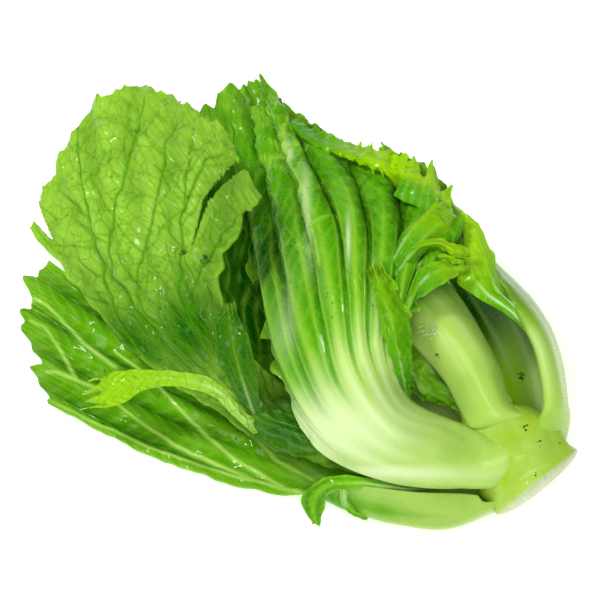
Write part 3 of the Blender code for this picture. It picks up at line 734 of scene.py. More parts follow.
ARCHED_LOBE = lobe(
    [
        [(44, 10, 86), (49, 19, 93), (54, 25.5, 97), (60, 29.5, 98),
         (68, 31, 97), (77.5, 28.5, 94), (85.5, 25.5, 90)],
        [(45.5, 7.5, 86), (51, 17, 95), (56, 23, 98.5), (61.5, 27, 98.5),
         (69, 28.5, 97.5), (77.5, 25, 94.5), (85.5, 24, 90)],
        [(48, 5, 84), (53, 13, 92), (57, 19.5, 93.5), (62.5, 25, 94),
         (69.5, 26.5, 93.5), (76.5, 21.5, 91.5), (84.5, 21, 88.5)],
    ],
    1.4, (28, 56),
    seed=52, side_teeth=(3, 3, 0.10), frill=0.5, rib_show=0.35, young=0.7,
)
POINTED_LOBE = lobe(
    [
        [(53, 3, 84), (56, 9.5, 91), (60, 15, 94), (65.5, 19, 95),
         (71.5, 20.5, 94), (78, 17, 91), (84.5, 17, 88.5)],
        [(54.5, 1, 84), (59, 7, 93), (63.5, 11.5, 96), (68.5, 14.5, 96),
         (74, 16, 95), (79.5, 15.5, 91.5), (85, 16.5, 88.5)],
        [(56, -1.5, 82), (62, 1.5, 89), (67, 4.5, 90), (72, 7.5, 91),
         (76, 10, 90), (80.5, 13.5, 89), (84.5, 16, 87.5)],
    ],
    1.4, (32, 56),
    seed=51, side_teeth=(3, 4, 0.16), frill=0.5, crinkle=0.7, crinkle_length=8.0, young=0.5,
)
HANGING_MARGIN = lobe(
    [
        [(52, -51, 45), (47, -36, 71), (42.5, -22.5, 84), (39, -9, 92), (35.5, 4, 97), (30.5, 16, 98)],
        [(54, -51, 45), (51.5, -37.5, 71), (48.5, -22.5, 86), (45.5, -7.5, 94),
         (41, 6, 98.5), (35, 20.5, 98.5)],
        [(55.5, -50, 43), (56.5, -36, 64), (57, -22.5, 77), (56, -9, 86), (50, 4, 94), (38.5, 23.5, 97)],
    ],
    1.4, (34, 76),
    seed=54, side_teeth=(5, 6, 0.22), tip_teeth=(2, 0.10), frill=1.4, frill_count=7, crinkle=1.0,
    rib_show=0.5, young=0.25,
)
BARBED_LOBE = lobe(
    [
        [(118.5, -23, 64), (103.5, -8.5, 73), (86, 1, 77), (77, 9, 77),
         (80, 22, 78), (81, 32, 79), (76, 45, 77)],
        [(119, -21.5, 67), (106.5, -6.5, 76), (93.5, 3.5, 79), (86, 13, 81),
         (86.5, 24, 82), (83.5, 34, 81), (77, 46, 77.5)],
        [(120, -20, 69), (109.5, -5, 76.5), (99, 5, 78), (94, 15, 80),
         (91, 26, 81.5), (87, 36, 81), (78, 46, 77.5)],
        [(121, -19, 70), (112.5, -5, 70), (104, 3.5, 71.5), (100, 14, 74.5),
         (96, 26, 77), (89.5, 39, 79), (79.5, 45, 77)],
    ],
    1.4, (84, 110),
    seed=59, side_teeth=(2, 5, 0.4), tip_teeth=(2, 0.04), rib_show=0.9, rib_width=1.0, frill=0.5,
    side_veins=(2.2, 3.0), side_vein_show=0.3, young=0.9,
)
INNER_FOLD = lobe(
    (
        [(402, 293, 84), (412, 272, 90), (423, 259, 93), (438, 253, 93.5), (455, 257, 91),
         (465, 260, 88)],
        [(408, 297, 83), (419, 278, 88), (430, 266, 90), (442, 260, 91), (455, 264, 89),
         (465, 265, 87)],
    ),
    1.0, (18, 44), in_squares=True, seed=61, side_teeth=(3, 3, 0.1), frill=0.4, young=0.7,
)
TOP_FRILL = lobe(
    [
        [(292, 116, 56), (306, 122, 61), (330, 133, 64), (352, 141, 68), (372, 145, 70),
         (392, 149, 73), (410, 158, 75)],
        [(292, 124, 63), (304, 133, 69), (328, 144, 73), (349, 152, 77), (368, 158, 80),
         (388, 165, 83), (406, 178, 85)],
        [(291, 129, 62), (303, 139, 70), (327, 151, 75), (347, 160, 78), (367, 168, 81),
         (387, 179, 84), (402, 197, 86)],
    ],
    1.0, (30, 140), in_squares=True,
    seed=62, side_teeth=(15, 11, 0.4), ruffle=2.6, frill=3.0, frill_count=13, crinkle=1.1,
    crinkle_length=9.0, young=0.95, rib_show=0.0, side_vein_show=0.0,
)
SPIKED_FRINGE = lobe(
    [
        [(394, 196, 87), (399, 180, 88), (404, 170, 85), (408, 163, 80)],
        [(402, 200, 89), (408, 182, 90), (412, 171, 86), (416, 155, 79)],
        [(411, 204, 90), (416, 186, 91), (419, 178, 88), (421, 173, 84)],
        [(419, 208, 90), (422, 190, 91), (424, 181, 88), (426, 175, 84)],
        [(427, 211, 90), (429, 191, 91), (431, 178, 87), (434, 159, 80)],
        [(435, 214, 90), (436, 198, 91), (437, 188, 88), (438, 182, 84)],
        [(444, 216, 89), (443, 204, 90), (442, 196, 88), (441, 190, 85)],
        [(452, 218, 87), (452, 207, 88), (452, 198, 86), (453, 186, 81)],
    ],
    1.0, (80, 36), in_squares=True,
    seed=63, tip_teeth=(9, 0.06), side_teeth=(2, 3, 0.05), rib_show=0.15, rib_width=0.7,
    frill=1.0, crinkle=0.7, crinkle_length=8.0, young=2.0,
)
FRONT_LEAF["lobes"] = (
    FOLDED_LOBE, ARCHED_LOBE, POINTED_LOBE, HANGING_MARGIN, INNER_FOLD, TOP_FRILL, SPIKED_FRINGE,
)
RIGHT_LEAF["lobes"] = (BARBED_LOBE,)
LOWER_LEAF["lobes"] = (HANGING_LOBE, CURLED_TENDRIL)
BROAD_LEAF["lobes"] = (CURLED_LOBE, RAGGED_LOBE)


def smooth(low, high, x):
    """0 below low, 1 above high, and a smooth step between."""
    x = np.clip((np.asarray(x, float) - low) / (high - low), 0, 1)
    return x * x * (3 - 2 * x)


def unit(vectors):
    """The same directions, each one unit long."""
    return vectors / np.maximum(np.linalg.norm(vectors, axis=-1, keepdims=True), 1e-9)


def waves(x, seed, pitch):
    """A wave between about -1 and 1 that never quite repeats, with its main length near one over pitch."""
    draw = random.Random(seed)
    total = 0
    for share, ratio in ((0.5, 1.0), (0.3, 1.73), (0.2, 2.91)):
        total = total + share * np.sin(2 * math.pi * (x * pitch * ratio + draw.random()))
    return total


def crinkles(points, length, seed, count=9):
    """Smooth bumps in space, about -1 to 1, whose waves are near a length in the points' own unit."""
    draw = np.random.default_rng(seed)
    headings = unit(draw.normal(size=(count, 3))) / (length * draw.uniform(0.7, 1.4, size=(count, 1)))
    phases = draw.uniform(0, 2 * math.pi, size=count)
    return np.sin(2 * math.pi * points @ headings.T + phases).sum(axis=1) / math.sqrt(count)


def notches(x, count, seed):
    """The depth of a toothed edge: near 0 at each tooth's point and near 1 in the notch beside it."""
    draw = random.Random(seed)
    places, depths = [], []
    for tooth in range(count + 1):
        places.append((tooth + draw.uniform(-0.2, 0.2)) / count)
        depths.append(draw.uniform(0.0, 0.4))
        places.append((tooth + draw.uniform(0.35, 0.6)) / count)
        depths.append(draw.uniform(0.6, 1.0))
    return np.interp(x, places, depths)


def eye_axes():
    """The board's right and up directions and the direction from the board to the eye."""
    right = np.array((1.0, 0.0, 0.0))
    up = np.array((0.0, math.sin(SIGHT_ELEVATION), math.cos(SIGHT_ELEVATION)))
    toward = np.array((0.0, -math.cos(SIGHT_ELEVATION), math.sin(SIGHT_ELEVATION)))
    return right, up, toward


def eye_point():
    """Where the eye is, in millimetres over the table."""
    return np.array((0.0, 0.0, BOARD_HEIGHT)) + eye_axes()[2] * EYE_DISTANCE


def sighted(points):
    """Guide points (across, up, lift) as points in space, in millimetres over the table."""
    points = np.asarray(points, float)
    right, up, _ = eye_axes()
    eye = eye_point()
    on_board = np.array((0.0, 0.0, BOARD_HEIGHT)) + points[..., 0:1] * right + points[..., 1:2] * up
    ray = on_board - eye
    reach = (points[..., 2] - eye[2]) / ray[..., 2]
    return eye + ray * reach[..., None]


def on_board(points):
    """The board squares (right, down) at which points in space are seen."""
    right, up, toward = eye_axes()
    ray = points - eye_point()
    reach = -EYE_DISTANCE / (ray @ toward)
    across, rise = (ray @ right) * reach, (ray @ up) * reach
    return np.stack((BOARD_MIDDLE + across / BOARD_SQUARE, BOARD_MIDDLE - rise / BOARD_SQUARE), axis=-1)


def stump_frame():
    """The cut face's centre, the stump's axis, and the two directions across it: right, and up."""
    base = sighted(CUT_CENTRE)
    axis = np.array(STUMP_AXIS) / np.linalg.norm(STUMP_AXIS)
    right = np.cross(axis, (0.0, 0.0, 1.0))
    right /= np.linalg.norm(right)
    return base, axis, right, np.cross(right, axis)


def around_stump(along, radius, angle):
    """A point so far along the stump's axis, so far out from it, at an angle in degrees from its right."""
    base, axis, right, up = stump_frame()
    turn = math.radians(angle)
    return base + axis * along + radius * (math.cos(turn) * right + math.sin(turn) * up)


def tangents(points, knots):
    """Slopes of a smooth curve through points along the first axis, at uneven knots."""
    steps = np.diff(knots).reshape((-1,) + (1,) * (points.ndim - 1))
    slopes = np.diff(points, axis=0) / steps
    inner = (slopes[:-1] * steps[1:] + slopes[1:] * steps[:-1]) / (steps[1:] + steps[:-1])
    return np.concatenate((slopes[:1], inner, slopes[-1:]))


def through(points, slopes, knots, at, pick=None):
    """Values at `at` on the smooth curve. With pick, each value has its own set of points, along axis 1."""
    i = np.clip(np.searchsorted(knots, at, side="right") - 1, 0, len(knots) - 2)
    step = knots[i + 1] - knots[i]
    x = (at - knots[i]) / step
    shape = (-1,) + (1,) * (points.ndim - 1 - (pick is not None))
    x, step = x.reshape(shape), step.reshape(shape)
    if pick is None:
        a, b, m, n = points[i], points[i + 1], slopes[i], slopes[i + 1]
    else:
        a, b, m, n = points[i, pick], points[i + 1, pick], slopes[i, pick], slopes[i + 1, pick]
    return (
        a * (1 + 2 * x) * (1 - x) ** 2
        + b * x * x * (3 - 2 * x)
        + step * (m * x * (1 - x) ** 2 - n * x * x * (1 - x))
    )


def leaf_net(leaf):
    """The leaf's guide points, station by station along it and rib by rib across it."""
    ribs = leaf["ribs"]
    net = sighted([[rib[j] for rib in ribs] for j in range(len(ribs[0]))])
    if not leaf["seat"]:
        return net
    dip = leaf["seat_dip"] * np.sin(np.linspace(0, math.pi, len(ribs)))
    ups, outs, angles = (np.linspace(*ends, len(ribs)) for ends in leaf["seat"])
    places = list(zip(ups - dip, outs, angles))
    root = [around_stump(up - ROOT_DEPTH, out * ROOT_NARROWING, angle) for up, out, angle in places]
    collar = [around_stump(up + COLLAR_REACH, out, angle) for up, out, angle in places]
    return np.concatenate(([root, collar], net))


def leaf_rows(net, along):
    """The row of rib points at each share of the leaf's length, and the leaf's length."""
    chords = np.linalg.norm(np.diff(net, axis=0), axis=2).mean(axis=1)
    knots = np.concatenate(([0.0], np.cumsum(chords))) / chords.sum()
    return np.swapaxes(through(net, tangents(net, knots), knots, along), 0, 1), chords.sum()


def leaf_points(net, across, along):
    """Points of the leaf's guide surface at shares of its width and length."""
    rows, _ = leaf_rows(net, along)
    rib_knots = np.linspace(0, 1, net.shape[1])
    return through(rows, tangents(rows, rib_knots), rib_knots, across, pick=np.arange(len(along)))


def leaf_ways(net, across, along, reach=0.02):
    """Directions across the guide surface, and square to it on the side that faces the eye."""
    left, right = np.clip(across - reach, 0, 1), np.clip(across + reach, 0, 1)
    low, high = np.clip(along - reach, 0, 1), np.clip(along + reach, 0, 1)
    sideways = leaf_points(net, right, along) - leaf_points(net, left, along)
    forward = leaf_points(net, across, high) - leaf_points(net, across, low)
    return unit(sideways), unit(np.cross(sideways, forward))


def line_closeness(places, line, start, end):
    """1 on a line drawn on the board, fading away over its half width, which runs from start to end."""
    line = np.asarray(line, float)
    steps = np.linalg.norm(np.diff(line, axis=0), axis=1)
    runs = np.concatenate(([0.0], np.cumsum(steps))) / steps.sum()
    best = np.zeros(len(places))
    low, high = line.min(axis=0) - 4 * start, line.max(axis=0) + 4 * start
    near = np.flatnonzero(((places > low) & (places < high)).all(axis=1))
    for a, b, run_a, run_b in zip(line[:-1], line[1:], runs[:-1], runs[1:]):
        share = np.clip((places[near] - a) @ (b - a) / np.dot(b - a, b - a), 0, 1)
        gap = np.linalg.norm(places[near] - a - share[:, None] * (b - a), axis=1)
        width = start + (end - start) * (run_a + (run_b - run_a) * share)
        best[near] = np.maximum(best[near], np.exp(-((gap / width) ** 2)))
    return best


def twigs(line, every, reach, seed):
    """Side veins of a drawn vein: short curved lines that leave it on both sides and lean to its tip."""
    draw = random.Random(seed)
    line = np.asarray(line, float)
    made = []
    carried = every * draw.uniform(*TWIG_START)
    for a, b in zip(line[:-1], line[1:]):
        length = np.linalg.norm(b - a)
        heading = (b - a) / length
        while carried < length:
            start = a + heading * carried
            side = draw.choice((-1, 1))
            for turn in (side, -side)[: draw.choice((1, 1, 2))]:
                lean = math.radians(draw.uniform(*TWIG_LEAN)) * turn
                bend = math.radians(draw.uniform(*TWIG_BEND)) * -turn
                twig = [start]
                for step in range(TWIG_STEPS):
                    angle = lean + bend * step / 2 + math.radians(draw.uniform(*TWIG_STRAY))
                    cos, sin = math.cos(angle), math.sin(angle)
                    x, y = heading
                    ahead = np.array((x * cos - y * sin, x * sin + y * cos))
                    twig.append(twig[-1] + ahead * reach * draw.uniform(*TWIG_STEP))
                made.append(twig)
            carried += every * draw.uniform(*TWIG_GAP)
        carried -= length
    return made


def nearness(places, spots):
    """1 at the middle of a spot on the board, or its own strength, fading over its reach right and down."""
    near = np.zeros(len(places))
    for centre, reach, *strength in spots:
        far = (((places - centre) / reach) ** 2).sum(axis=1)
        near = np.maximum(near, (strength[0] if strength else 1) * np.exp(-far))
    return near


def leaf_outline(leaf, across, along):
    """Shares of width and length with the margin's bites and teeth taken out."""
    bites, seed = leaf["bites"], leaf["seed"]
    tips = 0.5 + leaf["bite_waves"] * waves(across, seed, leaf["teeth"] / 2)
    tips = bites * tips * smooth(*TIP_BITTEN, along)
    sides = 0.5 + 0.5 * leaf["side_bites"] * waves(along, seed + 1, SIDE_BITE_WAVES)
    sides = bites * sides * smooth(*SIDES_BITTEN, along)
    count, depth = leaf["tip_teeth"]
    tips = tips + depth * notches(across, count, seed + 5) * smooth(*TIP_TOOTHED, along)
    left_count, right_count, depth = leaf["side_teeth"]
    toothed = smooth(*leaf["green"], along) * smooth(*SIDES_TOOTHED, np.abs(2 * across - 1))
    left, right = notches(along, left_count, seed + 6), notches(along, right_count, seed + 7)
    cut = np.where(across < 0.5, left, right)
    sides = sides + depth * cut * toothed
    return 0.5 + (across - 0.5) * (1 - sides), along * (1 - tips)


def rib_marks(leaf, u, v, width):
    """How near a rib each point is, which rib that is, and how far off it lies in millimetres."""
    folds = len(leaf["ribs"]) - 1
    nearest = np.round(u * folds)
    off_rib = np.abs(u * folds - nearest) / folds * width
    rib_width = leaf["rib_width"] * (1 - RIB_NARROWING * smooth(*RIBS_NARROW, v))
    rib = np.exp(-((off_rib / rib_width) ** 2)) * leaf["rib_show"]
    rib = rib * (1 - leaf["rib_greens"] * smooth(*RIBS_GREEN, v))
    rib = rib * smooth(leaf["rib_from"] - 0.15, leaf["rib_from"] + 0.05, v)
    if leaf["fine_ribs"]:
        beside = u * folds * leaf["fine_ribs"]
        off_fine = np.abs(beside - np.round(beside)) / folds / leaf["fine_ribs"] * width
        fine = np.exp(-((off_fine / FINE_RIB_WIDTH) ** 2))
        fine = fine * smooth(*FINE_RIBS_BEGIN, v) * (1 - smooth(*FINE_RIBS_END, v))
        rib = np.maximum(rib, FINE_RIB_SHOW * fine)
    return rib, nearest, off_rib


def drawn_veins(leaf, places):
    """How near places on the board are to the leaf's drawn veins and to their side veins."""
    drawn = np.zeros(len(places))
    for number, line in enumerate(leaf.get("veins", ())):
        drawn = np.maximum(drawn, line_closeness(places, line, *leaf["vein_widths"]))
        end = leaf["vein_widths"][1]
        for twig in twigs(line, leaf["twig_every"], leaf["twig_reach"], leaf["seed"] + number):
            drawn = np.maximum(drawn, TWIG_SHOW * line_closeness(places, twig, end, end * TWIG_THINNING))
    return drawn


def side_veins(leaf, face, run, nearest, off_rib):
    """How near each point is to one of the slanting veins between the ribs. Lengths are in millimetres."""
    lean, spacing = leaf["side_veins"]
    run = (run - off_rib * lean) / spacing + SIDE_VEIN_SHIFT * nearest
    run = run + SIDE_VEIN_STRAY * crinkles(face, STRAY_LENGTH, leaf["seed"])
    gap = np.abs(run - np.round(run)) * spacing / math.hypot(1, lean)
    return np.exp(-((gap / SIDE_VEIN_WIDTH) ** 2))


def margin_frill(leaf, sizes, across, along, from_middle, blade):
    """Height of the small waves along the leaf's tip and sides."""
    seed, count = leaf["seed"], leaf["frill_count"]
    tip = smooth(*TIP_FRILLED, along) * waves(across, seed + 8, count)
    sides = smooth(*SIDES_FRILLED, from_middle) * blade * waves(along, seed + 9, count)
    return leaf["frill"] * sizes.frill_height * (tip + sides) / MM


def quilting(leaf, sizes, face, v, green):
    """Height of the blade's bumps, coarse and fine."""
    seed, length = leaf["seed"], leaf["crinkle_length"]
    bumps = crinkles(face, length, seed + 10)
    bumps = bumps + FINE_BUMPS * crinkles(face, length * FINE_BUMP_LENGTH, seed + 11)
    return leaf["crinkle"] * sizes.crinkle_depth / MM * green * smooth(*leaf["crinkle_from"], v) * bumps


def leaf_form(leaf, across, along, sizes):
    """Both faces of a leaf and its marks, at shares of its width and length."""
    net = leaf_net(leaf)
    u, v = leaf_outline(leaf, across, along)
    face = leaf_points(net, u, v)
    sideways, normal = leaf_ways(net, u, v)
    rows, length = leaf_rows(net, v)
    width = np.linalg.norm(np.diff(rows, axis=0), axis=2).sum(axis=0)
    folds = len(leaf["ribs"]) - 1
    beyond = along - leaf["stalk_ends"]
    stalk, blade = 1 - smooth(*THINNING, beyond), smooth(*FOLDING, beyond)
    from_middle = np.abs(2 * across - 1)
    rounding = np.sqrt(np.clip(1 - from_middle ** leaf["roundness"], 0, 1))
    shifted = v + SWAY_SHIFT * np.floor(u * folds + 0.5)
    sway = leaf["sway"] * waves(shifted, leaf["seed"] + 12, SWAY_WAVES) * blade
    crest = np.abs(np.cos(math.pi * (folds * u + sway)))
    lean_over = leaf["overhang"] * width / folds / (2 * math.pi) * blade * (1 - smooth(*OVERHANG_ENDS, v))
    face = face + sideways * (lean_over * np.sin(2 * math.pi * (folds * u + sway)))[:, None]
    margin = np.maximum(smooth(MARGIN_FROM, 1, along), smooth(MARGIN_FROM, 1, from_middle) * blade)
    tip_waves = waves(across, leaf["seed"] + 2, leaf["teeth"] / 2)
    side_waves = waves(along, leaf["seed"] + 3, SIDE_WAVES)
    root = ROOT_SHARE + (1 - ROOT_SHARE) * smooth(0, leaf["root_full"], along)
    thin = sizes.blade_thickness / MM
    bulk = (leaf["stalk"] - thin) * stalk * root

    # Marks: how green, how far down a fold, where shade is painted, and how near a rib, a vein or the margin
    green = smooth(*leaf["green"], v + leaf["green_in_folds"] * (1 - crest))
    green = green * (1 - smooth(*leaf["pale_side"], u))
    rib, nearest, off_rib = rib_marks(leaf, u, v, width)
    places = on_board(face)
    slanting = side_veins(leaf, face, v * length, nearest, off_rib)
    slanting = slanting * blade * (1 - rib) * leaf["side_vein_show"]
    # Painted shade: the shaded places, and the shade painted all over a leaf
    shade = np.maximum(nearness(places, leaf["shades"]), leaf["gloom"])
    drawn = drawn_veins(leaf, places) * (1 - (1 - leaf["vein_leaves"]) * stalk)
    vein = np.clip(np.maximum(drawn, slanting), 0, 1)
    dewy = smooth(*DEW_PATCHES, crinkles(face, DEW_PATCH_LENGTH, leaf["seed"] + 20))
    dewy = dewy * smooth(*DEW_ON_GREEN, green) * (1 - margin) * smooth(*DEW_ON_LEVEL, normal[:, 2])

    # Heights: folds, ribs, veins, the quilted blade between them, and the waved margin
    rise = WAVE_SHARE * leaf["ruffle"] * margin * (tip_waves + side_waves)
    pleat = leaf["pleat"]
    pleat = pleat + (leaf.get("pleat_top", pleat) - pleat) * smooth(*PLEATS_CHANGE, v)
    rise = rise - pleat * blade * (1 - crest) - bulk * (1 - rounding) / 2
    rise = rise + margin_frill(leaf, sizes, across, along, from_middle, blade)
    rise = rise + quilting(leaf, sizes, face, v, green) * (1 - rib) + leaf["vein_rise"] * vein * green
    rise = rise + leaf["rib_rise"] * rib * smooth(leaf["rib_from"], leaf["rib_from"] + 0.2, v)
    thickness = thin + bulk * rounding
    thickness = thickness + leaf["rib"] * crest ** 3 * blade * (1 - smooth(RIB_FADES, 1, along))
    behind = unit(normal + stalk[:, None] * leaf_ways(net, np.full_like(u, 0.5), v)[1])
    front = face + normal * rise[:, None]
    back = front - behind * thickness[:, None]
    front[:, 2] = np.maximum(front[:, 2], thin)
    back[:, 2] = np.maximum(back[:, 2], 0)
    edge = np.maximum(smooth(*TIP_EDGE, along), smooth(*SIDES_EDGE, from_middle) * blade)
    marks = {
        "green": green,
        # Painted shade along the bottom of each fold
        "fold": (1 - crest) ** leaf["fold_shade_power"] * blade,
        "rib": rib,
        "vein": vein,
        "edge": edge,
        "shade": shade,
        # Pale places, and painted highlights
        "pale": nearness(places, leaf["pale_and_highlit_spots"]),
        "along": v,
        "hairy": nearness(places, leaf["hairs"]),
        "specked": nearness(places, leaf["specks"]) * SPECK_CROWDING,
        "dewy": dewy,
        # Yellow-green young blade, and painted light in the right leaf's hollow
        "young": np.maximum(leaf["young"] * smooth(*YOUNG_FROM, v), nearness(places, leaf["painted_light_spots"])),
    }
    weave = np.stack((u * width, v * length, np.full(len(u), float(leaf["seed"]))), axis=1)
    return front, back, marks, weave


def grid_shares(columns, rows):
    """Shares of width and length at a grid's points, closer together near the sides."""
    even = np.linspace(0, 1, columns + 1)
    across = 0.5 * even + 0.5 * (0.5 - 0.5 * np.cos(math.pi * even))
    along = np.linspace(0, 1, rows + 1)
    return np.tile(across, rows + 1), np.repeat(along, columns + 1)


def slab_faces(keep):
    """Quads of a closed slab over the kept cells of a grid: front, back, and walls round every edge."""
    rows, columns = keep.shape
    stride = columns + 1
    behind = stride * (rows + 1)
    r, c = np.nonzero(keep)
    i = r * stride + c
    front = np.stack((i, i + 1, i + 1 + stride, i + stride), axis=1)
    faces = [front, front[:, ::-1] + behind]
    fence = np.pad(keep, 1)
    steps = ((-1, 0, 0, 1), (0, 1, 1, 2), (1, 0, 2, 3), (0, -1, 3, 0))
    for down, over, a, b in steps:
        open_side = ~fence[r + 1 + down, c + 1 + over]
        a, b = front[open_side, a], front[open_side, b]
        faces.append(np.stack((b, a, a + behind, b + behind), axis=1))
    return np.concatenate(faces)


def leaf_shell(leaf, sizes):
    """One leaf or lobe as points, quads, marks and surface lengths."""
    columns = max(2, round(leaf["grid"][0] * sizes.grid_detail))
    rows = max(2, round(leaf["grid"][1] * sizes.grid_detail))
    across, along = grid_shares(columns, rows)
    front, back, marks, weave = leaf_form(leaf, across, along, sizes)
    keep = np.ones((rows, columns), bool)
    places = on_board(front).reshape(rows + 1, columns + 1, 2)
    middles = (places[:-1, :-1] + places[1:, :-1] + places[:-1, 1:] + places[1:, 1:]) / 4
    for line, start, end in leaf.get("tears", ()):
        torn = line_closeness(middles.reshape(-1, 2), line, start, end) > TORN_OVER
        keep &= ~torn.reshape(rows, columns)
    faces = slab_faces(keep)
    points = np.concatenate((front, back))
    marks = {name: np.tile(value, 2) for name, value in marks.items()}
    for name in ("hairy", "dewy", "specked"):
        marks[name][len(front):] = 0
    return points, faces, marks, np.tile(weave, (2, 1))


def placed():
    """The turn and shift from the board's frame, in millimetres, to the part's own, in metres."""
    shift = Matrix.Translation((-HEAD_CENTRE[0] * MM, -HEAD_CENTRE[1] * MM, 0))
    return shift @ Matrix.Rotation(HEAD_TURN, 4, "Z") @ Matrix.Scale(MM, 4)


def placed_points(points):
    """Points of the board's frame, in millimetres, in the part's own frame, in metres."""
    turn = np.array(placed())
    return points @ turn[:3, :3].T + turn[:3, 3]


def mesh_of(name, shells):
    """One mesh from several closed shells, with their marks as attributes. Unused points are dropped."""
    points, faces, weave = [], [], []
    marks = {}
    count = 0
    for shell_points, shell_faces, shell_marks, shell_weave in shells:
        used, faces_now = np.unique(shell_faces, return_inverse=True)
        faces.append(faces_now.reshape(shell_faces.shape) + count)
        points.append(shell_points[used])
        weave.append(shell_weave[used])
        for mark, value in shell_marks.items():
            marks.setdefault(mark, []).append(value[used])
        count += len(used)
    points, faces = placed_points(np.concatenate(points)), np.concatenate(faces)
    mesh = bpy.data.meshes.new(name)
    mesh.vertices.add(len(points))
    mesh.vertices.foreach_set("co", points.ravel())
    mesh.loops.add(faces.size)
    mesh.loops.foreach_set("vertex_index", faces.ravel().astype(np.int32))
    mesh.polygons.add(len(faces))
    mesh.polygons.foreach_set("loop_start", np.arange(0, faces.size, 4, dtype=np.int32))
    for mark, values in marks.items():
        layer = mesh.attributes.new(mark, "FLOAT", "POINT")
        layer.data.foreach_set("value", np.concatenate(values).astype(np.float32))
    layer = mesh.attributes.new("weave", "FLOAT_VECTOR", "POINT")
    layer.data.foreach_set("vector", np.concatenate(weave).astype(np.float32).ravel())
    mesh.update(calc_edges=True)
    mesh.validate()
    mesh.shade_smooth()
    mesh.set_sharp_from_angle(angle=SHARP_ANGLE)
    return mesh


def linear(red, green, blue):
    """A screen colour, 0 to 255 a channel, as the light that a shader works in, by the screens' own curve."""
    return tuple(
        ((c / 255 + 0.055) / 1.055) ** 2.4 if c > 10 else c / 255 / 12.92
        for c in (red, green, blue)
    )


class GreensSizes(bpy.types.PropertyGroup):
    """Sizes that all the leaves share."""

    blade_thickness: FloatProperty(
        name="Blade thickness", description="Thickness of the blade between the ribs",
        default=0.0008, min=0.0006, max=0.002, unit="LENGTH",
    )
    crinkle_depth: FloatProperty(
        name="Crinkle depth", description="Height of the bumps on the blade",
        default=0.0006, min=0.0, max=0.003, unit="LENGTH",
    )
    frill_height: FloatProperty(
        name="Frill height", description="Height of the small waves along the margin",
        default=0.0015, min=0.0, max=0.006, unit="LENGTH",
    )
    grid_detail: FloatProperty(
        name="Grid detail", description="Cells of every leaf's grid, as a share of the finished piece's",
        default=1.0, min=0.1, max=1.1,
    )
    dew_size: FloatProperty(
        name="Dew size", description="Middling radius of a bead of water",
        default=0.0005, min=0.0001, max=0.002, unit="LENGTH",
    )
    dew_density: FloatProperty(
        name="Dew density", description="Beads of water on each square metre of wet blade",
        default=45000.0, min=0.0, max=100000.0,
    )
    hair_length: FloatProperty(
        name="Hair length", description="Middling length of the hairs on the stalk",
        default=0.0036, min=0.0005, max=0.008, unit="LENGTH",
    )
    hair_density: FloatProperty(
        name="Hair density", description="Hairs on each square metre where the stalk is hairiest",
        default=450000.0, min=0.0, max=3000000.0,
    )
    speck_size: FloatProperty(
        name="Speck size", description="Middling radius of a dark speck on the stump",
        default=0.00042, min=0.0001, max=0.001, unit="LENGTH",
    )
    speck_density: FloatProperty(
        name="Speck density", description="Dark specks on each square metre in the stump's specked places",
        default=380000.0, min=0.0, max=2000000.0,
    )
    seed: IntProperty(
        name="Seed", description="Which of the possible scatterings of dew, hairs and specks", default=4,
    )


def colour_property(name, description, colour):
    """A colour that a user can change."""
    return FloatVectorProperty(
        name=name, description=description, default=linear(*colour), min=0, max=1, size=3, subtype="COLOR",
    )


class GreensColours(bpy.types.PropertyGroup):
    """Colours that the leaves and the stump share."""

    stalk: colour_property("Stalk", "The thick pale base of each leaf", (176, 208, 98))
    # Also painted as highlights on the front leaf's ridges
    white: colour_property("Bleached stalk", "The palest places of the stalks", (222, 236, 186))
    rib: colour_property("Rib", "The pale ribs in the blade", (166, 212, 64))
    blade: colour_property("Blade", "The blade in plain light", (80, 162, 0))
    grassy: colour_property("Lower blade", "The blade of the lower leaf", (100, 172, 0))
    light: colour_property("Light blade", "The blade of the broad leaf", (154, 202, 62))
    bright: colour_property("Bright blade", "The blade of the young leaves at the heart", (190, 250, 24))
    # Dark green painted as shade in the folds and shaded places; also the random blotches and the specks'
    # mottle
    shade_and_blotch_green: colour_property("Deep folds", "The blade low down in its folds", (0, 88, 0))
    dark_vein: colour_property("Dark vein", "Veins that show darker than the blade", (70, 138, 0))
    pale_vein: colour_property("Pale vein", "The long veins of the lower leaf", (180, 220, 100))
    # Also painted in the right leaf's shaded hollow, as painted light
    young: colour_property("Young blade", "Yellow-green tips and curled lobes", (164, 216, 4))
    skin: colour_property("Stump skin", "The outside of the stump", (160, 190, 44))
    cut: colour_property("Cut face", "The cut across the stump", (206, 210, 176))
    dew: colour_property("Dew", "The beads of water", (246, 255, 240))
    hair: colour_property("Hairs", "The short hairs on the stalk", (252, 255, 244))
    dew_shade: colour_property("Dew shade", "The darker parts of the beads", (226, 244, 214))
    speck: colour_property("Speck", "The dark specks on the stump", (40, 44, 10))
    grain: colour_property("Grain of the cut", "The fine lines in the cut face", (164, 168, 140))
    floor: colour_property("Floor", "The plain floor and backdrop", (250, 250, 250))


class GreensLight(bpy.types.PropertyGroup):
    """The studio light."""

    key: FloatProperty(
        name="Key light", description="Power of the lamp above the leaf tips", default=4.4,
    )
    glow: FloatProperty(
        name="Floor glow", description="How far the floor lights up its own shadows", default=0.5,
    )
    top: FloatProperty(name="Top light", description="Power of the wide lamp overhead", default=5.8)
    fill: FloatProperty(name="Fill light", description="Power of the soft lamp by the stump", default=2.2)
    sky_tint: colour_property("Sky tint", "The light from all round, green from the leaves", (215, 255, 150))
    sky: FloatProperty(name="Sky", description="Strength of the light from all round", default=0.2)


